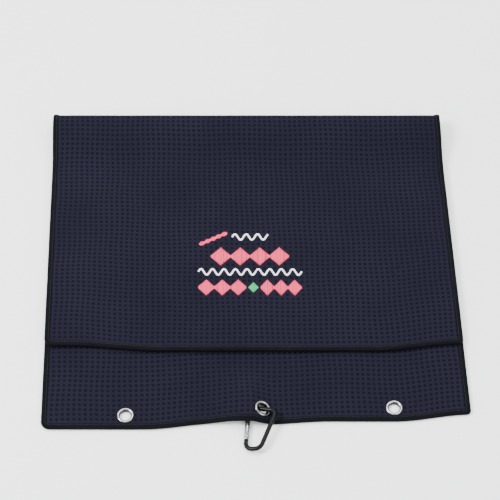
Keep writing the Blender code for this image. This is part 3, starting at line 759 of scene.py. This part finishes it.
def add_tape(name, place, length, surface, finish):
    """The tape, swept along an edge, with a station at and between each stitch's ends."""
    section = tape_section()
    count = 2 * round(length / STITCH_PITCH)
    stations = np.linspace(0, length, count + 1)
    rows = []
    for s in stations:
        for inset, height in section:
            drawn = pull(s, inset) if abs(height) > TAPE_LINING else 0.0
            rows.append((*place(s, inset), height - math.copysign(drawn, height), s))
    p, q, heights, along = np.array(rows).T
    middle, up = surface(p, q)
    points = middle + up * heights[:, None]
    size = len(section)
    faces = [list(range(size)), list(range(len(points) - size, len(points)))]
    for station in range(count):
        for corner in range(size):
            first, after = station * size, (corner + 1) % size
            faces.append((first + corner, first + after, first + size + after, first + size + corner))
    return add_mesh(name, points, faces, finish, 50, {"along": along}, MERGE_DISTANCE)


def add_stitches(name, place, length, surface, finish):
    """A running stitch along the tape's lips, on both faces."""
    count = round(length / STITCH_PITCH)
    pitch = length / count
    insets, drops = np.array(TAPE_CROWN)[::-1].T
    base = TAPE_HALF - np.interp(STITCH_INSET, insets, drops)
    paths, normals = [], []
    for sign in (1, -1):
        for number in range(count):
            s = (number + 0.5 + STITCH_PLACES) * pitch
            at = np.array([place(value, STITCH_INSET) for value in s])
            middle, up = surface(at[:, 0], at[:, 1])
            height = base - pull(s, STITCH_INSET) * THREAD_SINK + STITCH_RISES
            paths.append(middle + up * (sign * height)[:, None])
            normals.append(up * sign)
    points, faces = tubes(np.array(paths), np.array(normals), STITCH_RADIUS * STITCH_SHARES, THREAD_SIDES)
    return add_mesh(name, points, faces, finish)


# Eyelets: a rolled shell from above and a washer below.


def eyelet_matrix(number):
    x, y = eyelet_place(number)
    if number:
        return Matrix.Translation((x, y, BACK_MID))
    turn = Matrix.Rotation(CENTRE_EYELET_TILT, 4, "Y")
    return Matrix.Translation((x, y, CENTRE_EYELET_HEIGHT)) @ turn


RIM_LIP = 0.0002
RIM_ARCH = (0.12, 0.98)
RIM_ARCH_POWER = 0.9
THROAT_FLARE = 0.04
THROAT_DEPTH = 0.0012
RIM_SHADE = 0.0009
RIM_SHADE_POWER = 1.5
WASHER_CHAMFER = 0.0001
WASHER_SLOPE = 0.0004
EYELET_SIDES = 72


def shell_profile():
    """(radius, height) of the rolled rim and barrel, over the cloth's middle."""
    seat = CLOTH_THICKNESS / 2 + SEAT_CLEARANCE
    foot = -TAPE_HALF
    wide = EYELET_FLANGE_RADIUS - EYELET_BORE_RADIUS
    start, stop = RIM_ARCH
    crown = [(EYELET_FLANGE_RADIUS - RIM_LIP, seat), (EYELET_FLANGE_RADIUS, seat + RIM_LIP)]
    for share in np.linspace(0.06, 0.97, 15):
        arch = math.sin(math.pi * (start + (stop - start) * share)) ** RIM_ARCH_POWER
        crown.append((EYELET_FLANGE_RADIUS - wide * share, seat + EYELET_CROWN * arch))
    throat = []
    for share in np.linspace(0, 1, 6):
        radius = EYELET_BORE_RADIUS + THROAT_FLARE * wide * (1 - share)
        throat.append((radius, seat + RIM_LIP - THROAT_DEPTH * share))
    return [(BARREL_RADIUS, foot), (BARREL_RADIUS, seat), *crown, *throat, (EYELET_BORE_RADIUS, foot)]


def washer_profile():
    """(radius, height) of the flat ring under the cloth."""
    inner = BARREL_RADIUS + SEAT_CLEARANCE
    foot, top = -TAPE_HALF, -TAPE_HALF + WASHER_THICKNESS
    edge, chamfer = EYELET_FLANGE_RADIUS, WASHER_CHAMFER
    lower = [
        (inner, foot + chamfer),
        (inner + chamfer, foot),
        (edge - WASHER_SLOPE, foot),
        (edge - chamfer, foot + chamfer),
    ]
    upper = [(radius, foot + top - height) for radius, height in reversed(lower)]
    return [*lower, (edge, (foot + top) / 2), *upper]


def add_eyelets(finish):
    """Shells and washers, with a crown attribute of painted shade that falls to 0 down in the bore."""
    for number, side in EYELETS.items():
        for name, profile in (("eyelet_", shell_profile()), ("eyelet_washer_", washer_profile())):
            points, faces = turned(profile, EYELET_SIDES, closed=True)
            heights = np.array(profile)[:, 1]
            # Painted shade for the nickel: 1 on the rim's top, falling to 0 down the bore.
            shade_level = np.clip((heights - heights.max() + RIM_SHADE) / RIM_SHADE, 0, 1)
            shade = {"crown": np.tile(shade_level**RIM_SHADE_POWER, EYELET_SIDES)}
            made = add_mesh("visual_" + name + side, points, faces, finish, smooth_angle=40, attributes=shade)
            made.data.transform(eyelet_matrix(number))
            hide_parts(name + side)
            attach(made, "towel")


# Carabiner, in its own plane: U runs from the gate to the spine, V from the hinge to the nose.

ROD_RADIUS = 0.0022
ROUND_ROD_RADIUS = 0.00215
GATE_RADIUS = 0.00243
GATE_LENGTH = 0.0248
LOOP_BOTTOM = 0.0120
LOOP_BOTTOM_WIDTH = 0.0146
LOOP_TOP_WIDTH = 0.0275
LOOP_TOP_SPINE = 0.0270
LOOP_TOP_GATE = 0.0325
LOOP_BOTTOM_BEND = 0.0068
LOOP_SPINE_BEND = 0.0055
LOOP_NOSE_BEND = 0.0055
ROD_END_GAP = 0.0005
BAR_AT_EYELET = 0.0130
CARABINER_YAW = math.radians(-4.7)
CARABINER_ROLL = math.radians(17.0)
CARABINER_PITCH = math.radians(0.6)
TONGUE_THICKNESS = 0.0013
TONGUE_WIDTH = 0.0027
SLOT_CLEARANCE = 0.0003
HINGE_TONGUE_LENGTH = 0.0016
NOSE_TONGUE_LENGTH = 0.0035
RIVET_HOLE_RADIUS = 0.0010
RIVET_HEAD_RADIUS = 0.0014
RIVET_SEAT = 0.0017
SPOTFACE_MARGIN = 0.0012
PIN_HOLE_RADIUS = 0.0007
LATCH_PIN_DROP = 0.0017
GATE_FOOT = 0.8 * GATE_RADIUS
GATE_FOOT_TIP = 0.35
GATE_END_CHAMFER = (0.0002, 0.0003)
GROOVE_WIDTH = 0.0008
GROOVE_DEPTH = 0.0004
GROOVE_TO_FLAT = 0.0014
GROOVE_TO_NOSE = 0.0020
NOSE_FOOT = GATE_LENGTH - NOSE_TONGUE_LENGTH
LATCH_PIN_V = GATE_LENGTH - LATCH_PIN_DROP
CUT_REACH = 2 * GATE_RADIUS


def carabiner_matrix():
    turn = Matrix.Rotation(CARABINER_YAW, 4, "Z") @ Matrix.Rotation(-CARABINER_ROLL, 4, "Y")
    turn = turn @ Matrix.Rotation(CARABINER_PITCH, 4, "X")
    x, y = eyelet_place(0)
    bar_v = LOOP_TOP_GATE + (LOOP_TOP_SPINE - LOOP_TOP_GATE) * BAR_AT_EYELET / LOOP_TOP_WIDTH
    at_eyelet = Matrix.Translation((-BAR_AT_EYELET, -bar_v, 0))
    return Matrix.Translation((x, y, CENTRE_EYELET_HEIGHT)) @ turn @ at_eyelet


def filleted(corners, radii):
    """A line through the corners, each inner one rounded by its radius."""
    steps = 18
    points = [Vector(corners[0])]
    for before, corner, after, radius in zip(corners, corners[1:], corners[2:], radii):
        corner = Vector(corner)
        back = (Vector(before) - corner).normalized()
        ahead = (Vector(after) - corner).normalized()
        half = back.angle(ahead) / 2
        centre = corner + (back + ahead).normalized() * (radius / math.sin(half))
        start = corner + back * (radius / math.tan(half)) - centre
        stop = corner + ahead * (radius / math.tan(half)) - centre
        sweep = start.angle(stop)
        for step in range(steps + 1):
            t = step / steps
            mixed = start * math.sin((1 - t) * sweep) + stop * math.sin(t * sweep)
            points.append(centre + mixed / math.sin(sweep))
    points.append(Vector(corners[-1]))
    return np.array(points)


def box(name, low, high, finish):
    ends = list(zip(low, high))
    points = [(x, y, z) for z in ends[2] for y in ends[1] for x in ends[0]]
    faces = [(0, 2, 3, 1), (4, 5, 7, 6), (0, 1, 5, 4), (2, 6, 7, 3), (0, 4, 6, 2), (1, 3, 7, 5)]
    return add_mesh(name, points, faces, finish)


def rod(name, profile, finish, turn=None, sides=40):
    points, faces = turned(profile, sides, closed=False)
    made = add_mesh(name, points, faces, finish)
    if turn is not None:
        made.data.transform(turn)
    return made


def pierce(name, radius, reach, finish, turn=None, sides=40):
    """A round cutter that reaches as far each way from its middle."""
    return rod(name, [(radius, -reach), (radius, reach)], finish, turn, sides)


def finish_metal(made, angle, bevel):
    """A small rounding on every edge that is sharper than the angle."""
    step = made.modifiers.new("rounded_edges", "BEVEL")
    step.width = bevel
    step.segments = 2
    step.limit_method = "ANGLE"
    step.angle_limit = math.radians(angle)
    apply_modifiers(made)
    made.data.shade_smooth()
    made.data.set_sharp_from_angle(angle=math.radians(45))


def add_carabiner_frame(place, finish):
    """The bent rod, with a tongue at each end that enters the gate."""
    rod_foot = -ROD_END_GAP - GATE_FOOT
    nose = GATE_LENGTH + ROD_END_GAP
    corners = (
        (0, rod_foot, 0),
        (0, -LOOP_BOTTOM, 0),
        (LOOP_BOTTOM_WIDTH, -LOOP_BOTTOM, 0),
        (LOOP_TOP_WIDTH, LOOP_TOP_SPINE, 0),
        (0, LOOP_TOP_GATE, 0),
        (0, nose, 0),
    )
    bends = (LOOP_BOTTOM_BEND, LOOP_BOTTOM_BEND, LOOP_SPINE_BEND, LOOP_NOSE_BEND)
    line = filleted(corners, bends)
    paths = line[None]
    radii = np.full(len(line), ROUND_ROD_RADIUS)
    points, faces = tubes(paths, up_normals(paths[..., 2]), radii, sides=32)
    body = add_mesh("visual_carabiner_frame", points, faces, finish)
    wide, thin = TONGUE_WIDTH / 2, TONGUE_THICKNESS / 2
    tongues = [
        box("hinge_tongue", (-wide, rod_foot - ROD_RADIUS, -thin), (wide, HINGE_TONGUE_LENGTH, thin), finish),
        box("nose_tongue", (-wide, NOSE_FOOT, -thin), (wide, nose + ROD_RADIUS, thin), finish),
    ]
    cut(body, tongues, "UNION")
    low = (-PIN_HOLE_RADIUS, LATCH_PIN_V - PIN_HOLE_RADIUS, -2 * thin)
    high = (2 * wide, LATCH_PIN_V + PIN_HOLE_RADIUS, 2 * thin)
    cutters = [
        box("latch_notch", low, high, finish),
        pierce("rivet_hole", RIVET_HOLE_RADIUS, CUT_REACH, finish),
    ]
    cut(body, cutters)
    finish_metal(body, 50, 0.00012)
    body.data.transform(place)
    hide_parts("carabiner_frame")
    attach(body, "carabiner")


def gate_profile():
    """(radius, height) of the gate's round foot, side and chamfered end."""
    profile = [(GATE_FOOT_TIP * GATE_RADIUS, -GATE_FOOT)]
    for share in np.linspace(0.15, 1, 7):
        angle = share * math.pi / 2
        radius = GATE_RADIUS * (GATE_FOOT_TIP + (1 - GATE_FOOT_TIP) * math.sin(angle))
        profile.append((radius, -GATE_FOOT * math.cos(angle)))
    inward, down = GATE_END_CHAMFER
    return profile + [(GATE_RADIUS, GATE_LENGTH - down), (GATE_RADIUS - inward, GATE_LENGTH)]


def add_carabiner_gate(place, finish):
    """The gate's tube, slotted for the tongues, with flats for the rivet and a groove along it."""
    along = Matrix.Rotation(-math.pi / 2, 4, "X")
    gate = rod("visual_carabiner_gate", gate_profile(), finish, along, sides=48)
    slot, far = TONGUE_THICKNESS / 2 + SLOT_CLEARANCE, CUT_REACH
    hinge_slot_end = HINGE_TONGUE_LENGTH + 2 * SLOT_CLEARANCE
    nose_slot_foot = NOSE_FOOT - 2 * SLOT_CLEARANCE
    flat_end = RIVET_HEAD_RADIUS + SPOTFACE_MARGIN
    groove_low = (-GROOVE_WIDTH / 2, flat_end + GROOVE_TO_FLAT, GATE_RADIUS - GROOVE_DEPTH)
    groove_high = (GROOVE_WIDTH / 2, NOSE_FOOT - GROOVE_TO_NOSE, far)
    pin_place = Matrix.Translation((0, LATCH_PIN_V, 0))
    cutters = [
        box("hinge_slot", (-far, -far, -slot), (far, hinge_slot_end, slot), finish),
        box("nose_slot", (-far, nose_slot_foot, -slot), (far, GATE_LENGTH + far, slot), finish),
        box("upper_flat", (-far, -far, RIVET_SEAT), (far, flat_end, far), finish),
        box("lower_flat", (-far, -far, -far), (far, flat_end, -RIVET_SEAT), finish),
        box("groove", groove_low, groove_high, finish),
        pierce("rivet_bore", RIVET_HOLE_RADIUS, far, finish),
        pierce("pin_bore", PIN_HOLE_RADIUS, far, finish, pin_place, 20),
    ]
    cut(gate, cutters)
    finish_metal(gate, 40, 0.00008)
    gate.data.transform(place)
    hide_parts("carabiner_gate")
    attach(gate, "gate")


# Embroidery: threads laid side by side over each shape of the motif.

MOTIF_X = 0.0037
LOZENGE_WAIST = 0.0024
UPPER_ROW_DROP = 0.1661
UPPER_ROW_HEIGHT = 0.0228
UPPER_ROW_PITCH = 0.0195
UPPER_ROW_COUNT = 4
LOWER_ROW_DROP = 0.2034
LOWER_ROW_HEIGHT = 0.0196
LOWER_ROW_COUNT = 3
LOWER_ROW_HALF = 0.0510
LOWER_ROW_GAP = 0.0022
CENTRE_LOZENGE_WIDTH = 0.0099
CENTRE_LOZENGE_HEIGHT = 0.0130
CENTRE_LOZENGE_WAIST = 0.0006
CENTRE_LOZENGE_X = 0.0071
SPRIG_COUNT = 5
SPRIG_PITCH = 0.0062
SPRIG_HEIGHT = 0.0056
SPRIG_X = -0.0333
SPRIG_DROP = 0.1445
SPRIG_TURN = math.radians(28.0)
SHORT_WAVE_DROP = 0.1422
SHORT_WAVE_X = 0.0037
SHORT_WAVE_LENGTH = 0.0360
LONG_WAVE_DROP = 0.1849
LONG_WAVE_LENGTH = 0.1030
WAVE_HEIGHT = 0.0070
WAVE_PITCH = 0.0114
WAVE_LINE = 0.0018
WAVE_STRETCH = 1.9

THREAD_PITCH = 0.00036
THREAD_RADIUS = 0.00024
THREAD_END = 0.6
THREAD_JITTER = 0.00010
THREAD_DEPTH = 0.00010
LONGEST_STITCH = 0.0045
STITCH_DIP = 0.00016
PADDING_LEAST = 0.00018
PADDING_MOST = 0.00075
PADDING_RISE = 0.045
MOTIF_REACH = 0.09
MOTIF_TOP = 0.12
MOTIF_BOTTOM = 0.24
PRESSED_REACH = 0.0008
PRESSED_FADE = 0.0020


def chain_threads(centre, count, pitch, height, turn=0.0, waist=LOZENGE_WAIST):
    """Thread ends across a row of touching lozenges."""
    length = count * pitch
    number = round(length / THREAD_PITCH)
    along = (np.arange(number) + 0.5) / number * length
    peak = 1 - np.abs((along / pitch) % 1 - 0.5) * 2
    half = waist / 2 + (height - waist) / 2 * peak
    along = along - length / 2
    cosine, sine = math.cos(turn), math.sin(turn)
    middle = np.stack([centre[0] + along * cosine, centre[1] + along * sine], axis=1)
    across = np.stack([-half * sine, half * cosine], axis=1)
    return middle + across, middle - across


def wave_threads(centre, length):
    """Thread ends across a wavy line. The line is longer than its length by the stretch."""
    number = round(length * WAVE_STRETCH / THREAD_PITCH)
    along = (np.arange(number) + 0.5) / number * length
    phase = 2 * math.pi * along / WAVE_PITCH
    slope = math.pi * WAVE_HEIGHT / WAVE_PITCH * np.cos(phase)
    middle = np.stack([centre[0] - length / 2 + along, centre[1] + WAVE_HEIGHT / 2 * np.sin(phase)], axis=1)
    across = np.stack([-slope, np.ones_like(slope)], axis=1)
    across *= WAVE_LINE / 2 / np.linalg.norm(across, axis=1, keepdims=True)
    return middle + across, middle - across


def on_flap(across, drop):
    """X and Y of a place across the towel and down from the fold."""
    return np.array([FOLD_CENTRE_X + across, FOLD_Y - drop])


def motif_shapes():
    """The threads' ends of each embroidered piece. Its name begins with its colour."""
    centre = on_flap(MOTIF_X, UPPER_ROW_DROP)
    shapes = {"pink_upper": chain_threads(centre, UPPER_ROW_COUNT, UPPER_ROW_PITCH, UPPER_ROW_HEIGHT)}
    for sign, side in ((-1, "left"), (1, "right")):
        inner = CENTRE_LOZENGE_X + sign * (CENTRE_LOZENGE_WIDTH / 2 + LOWER_ROW_GAP)
        outer = MOTIF_X + sign * LOWER_ROW_HALF
        centre = on_flap((inner + outer) / 2, LOWER_ROW_DROP)
        pitch = abs(outer - inner) / LOWER_ROW_COUNT
        shapes["pink_lower_" + side] = chain_threads(centre, LOWER_ROW_COUNT, pitch, LOWER_ROW_HEIGHT)
    centre = on_flap(SPRIG_X, SPRIG_DROP)
    shapes["pink_sprig"] = chain_threads(centre, SPRIG_COUNT, SPRIG_PITCH, SPRIG_HEIGHT, SPRIG_TURN)
    centre = on_flap(CENTRE_LOZENGE_X, LOWER_ROW_DROP)
    size = CENTRE_LOZENGE_WIDTH, CENTRE_LOZENGE_HEIGHT
    shapes["green_centre"] = chain_threads(centre, 1, *size, waist=CENTRE_LOZENGE_WAIST)
    shapes["white_upper"] = wave_threads(on_flap(SHORT_WAVE_X, SHORT_WAVE_DROP), SHORT_WAVE_LENGTH)
    shapes["white_middle"] = wave_threads(on_flap(MOTIF_X, LONG_WAVE_DROP), LONG_WAVE_LENGTH)
    return shapes


def covered(shapes):
    """A function giving 1 where embroidery presses the cloth's pits flat, and 0 elsewhere."""
    ends = np.concatenate([np.stack(threads, axis=1) for threads in shapes.values()])
    first, span = ends[:, 0], ends[:, 1] - ends[:, 0]
    square = (span**2).sum(axis=1)

    def share(x, y):
        flat = np.zeros(x.shape)
        drop = FOLD_Y - y
        near = (np.abs(x - MOTIF_X) < MOTIF_REACH) & (drop > MOTIF_TOP) & (drop < MOTIF_BOTTOM)
        for index in zip(*np.nonzero(near)):
            away = np.array([x[index], y[index]]) - first
            t = np.clip((away * span).sum(axis=1) / square, 0, 1)
            gap = np.linalg.norm(away - t[:, None] * span, axis=1).min()
            flat[index] = 1 - smoothstep((gap - PRESSED_REACH) / PRESSED_FADE)
        return flat

    return share


def add_embroidery(shapes, finishes):
    """Each shape as threads over padding, long ones tied down at staggered places along them."""
    ridge = CLOTH_THICKNESS / 2
    for name, (first, second) in shapes.items():
        node = "embroidery_" + name
        thread = name.split("_")[0] + "_thread"
        rng = np.random.default_rng(len(node) * 7)
        length = np.linalg.norm(second - first, axis=1)
        steps = 25 if length.max() > LONGEST_STITCH else 9
        t = np.linspace(0, 1, steps)
        jitter = rng.normal(0, THREAD_JITTER, (len(first), 2))
        share = t[None, :, None]
        flat = (first + jitter)[:, None] * (1 - share) + (second + jitter)[:, None] * share
        dome = np.minimum(PADDING_LEAST + PADDING_RISE * length, PADDING_MOST)[:, None]
        arch = np.sqrt(np.clip(1 - (2 * t[None] - 1) ** 4, 0, 1))
        phase = (np.arange(len(first)) % 3)[:, None] / 3
        stitched = np.cos(math.pi * (t[None] * length[:, None] / LONGEST_STITCH + phase)) ** 8
        dip = np.where(length[:, None] > LONGEST_STITCH, STITCH_DIP * stitched, 0.0)
        crown = dome * arch - dip
        z = flap_height(flat[..., 0], flat[..., 1]) + ridge - THREAD_DEPTH + crown
        paths = np.concatenate([flat, z[..., None]], axis=-1)
        normals = up_normals(z)
        radii = np.full(steps, THREAD_RADIUS)
        radii[[0, -1]] *= THREAD_END
        points, faces = tubes(paths, normals, radii, THREAD_SIDES)
        # Painted shade for the thread material: 0 where the thread dips to the cloth, 1 at the top of its
        # arch.
        shade_level = np.clip(crown / dome, 0, 1).repeat(THREAD_SIDES, axis=1).ravel()
        made = add_mesh("visual_" + node, points, faces, finishes[thread], attributes={"crown": shade_level})
        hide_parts(node)
        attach(made, "flap")


# The towel.

HOLE_REACH = 0.006


def add_cloths(shapes, finish):
    """The towel's one cloth as three: on the ground, folded over it, and round the roll between."""
    edge = HALF_WIDTH - CLOTH_INSET
    columns = cell_lines(-edge, edge, CELL_ACROSS)
    rows = cell_lines(CLOTH_INSET, BACK_DEPTH - ROLL_OVERRUN, CELL_ALONG)
    back = waffle("back_cloth", columns, rows, back_surface, finish)
    radius = BARREL_RADIUS + SEAT_CLEARANCE
    cutters = []
    for number, side in EYELETS.items():
        cutters.append(pierce("hole_" + side, radius, HOLE_REACH, finish, eyelet_matrix(number), 64))
    cut(back, cutters, solver="MANIFOLD")
    rows = cell_lines(CLOTH_INSET, FLAP_DEPTH - ROLL_OVERRUN, CELL_ALONG)
    flap = waffle("flap_cloth", columns, rows, flap_surface, finish, flat_cells=covered(shapes))
    overrun = ROLL_OVERRUN / ROLL_LENGTH
    rows = cell_lines(-overrun, 1 + overrun, CELL_ALONG / ROLL_LENGTH)
    roll = waffle("roll_cloth", columns, rows, roll_surface, finish, unit=1 / ROLL_LENGTH)
    return back, flap, roll


def add_edges(tape, thread, taped):
    """The tapes and stitches of the back, the flap and the roll. taped is the roll's taped length."""
    pieces = {"back": [], "flap": [], "roll": []}
    for name, depth, surface in (("back", BACK_DEPTH, back_surface), ("flap", FLAP_DEPTH, flap_surface)):
        place, length = edge_path(depth - ROLL_OVERRUN)
        pieces[name].append(add_tape(name + "_tape", place, length, surface, tape))
        pieces[name].append(add_stitches(name + "_stitches", place, length, surface, thread))
    for sign, side in ((-1, "left"), (1, "right")):

        def place(s, inset, sign=sign):
            return sign * (HALF_WIDTH - inset), (s - ROLL_OVERRUN) / ROLL_LENGTH

        pieces["roll"].append(add_tape("roll_tape_" + side, place, taped, roll_surface, tape))
        pieces["roll"].append(add_stitches("roll_stitches_" + side, place, taped, roll_surface, thread))
    return pieces


def add_towel(shapes, cloth, tape, thread):
    """The cloths and their edges. The roll's pieces stay where they are built, on no body."""
    taped = ROLL_LENGTH + 2 * ROLL_OVERRUN
    back, flap, roll = add_cloths(shapes, cloth)
    pieces = add_edges(tape, thread, taped)
    nodes = {
        "back_tape": "back_binding",
        "flap_tape": "flap_binding",
        "roll_tape_left": "fold_binding_left",
        "roll_tape_right": "fold_binding_right",
    }
    for made in pieces.values():
        for piece in made:
            if piece.name in nodes:
                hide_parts(nodes[piece.name])
    for piece, node in ((back, "back_panel"), (flap, "front_flap"), (roll, "fold_roll")):
        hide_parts(node)
    for piece in (back, *pieces["back"]):
        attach(piece, "towel")
    for piece in (flap, *pieces["flap"]):
        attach(piece, "flap")
    for piece in (roll, *pieces["roll"]):
        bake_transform(piece)
    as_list(pieces["back"])
    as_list(pieces["flap"])
    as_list(pieces["roll"])


def main():
    add_camera()
    add_studio()
    cloth = waffle_material()
    tape = tape_material()
    # Each thread's first colour is its painted shade, the second its own colour on the crown.
    finishes = {
        "pink_thread": thread_material("pink_thread", (0.22, 0.006, 0.026), (0.78, 0.050, 0.130)),
        "white_thread": thread_material("white_thread", (0.55, 0.55, 0.58), (0.92, 0.92, 0.92)),
        "green_thread": thread_material("green_thread", (0.005, 0.12, 0.030), (0.02, 0.40, 0.12)),
    }
    # Painted shade colour for the eyelets' bores.
    bore_shade = (0.020, 0.020, 0.021)
    nickel = metal_material("nickel", (0.24, 0.24, 0.24), (0.46, 0.46, 0.45), (0.08, 0.20), 0.3, bore_shade)
    aluminium = metal_material("bare_aluminium", (0.26, 0.26, 0.27), (0.46, 0.46, 0.47), (0.16, 0.30), 0.6)
    steel = metal_material("steel", (0.20, 0.20, 0.21), (0.36, 0.36, 0.36), (0.20, 0.36), 0.5)
    shapes = motif_shapes()
    add_towel(shapes, cloth, tape, stitch_material())
    add_embroidery(shapes, finishes)
    add_eyelets(nickel)
    add_carabiner_frame(carabiner_matrix(), anodised_material())
    add_carabiner_gate(carabiner_matrix(), aluminium)
    for name in ("gate_hinge_rivet", "gate_latch_pin", "gate_plunger", "gate_spring"):
        node = frame["nodes"][name]
        for slot in node.material_slots:
            slot.material = steel


main()
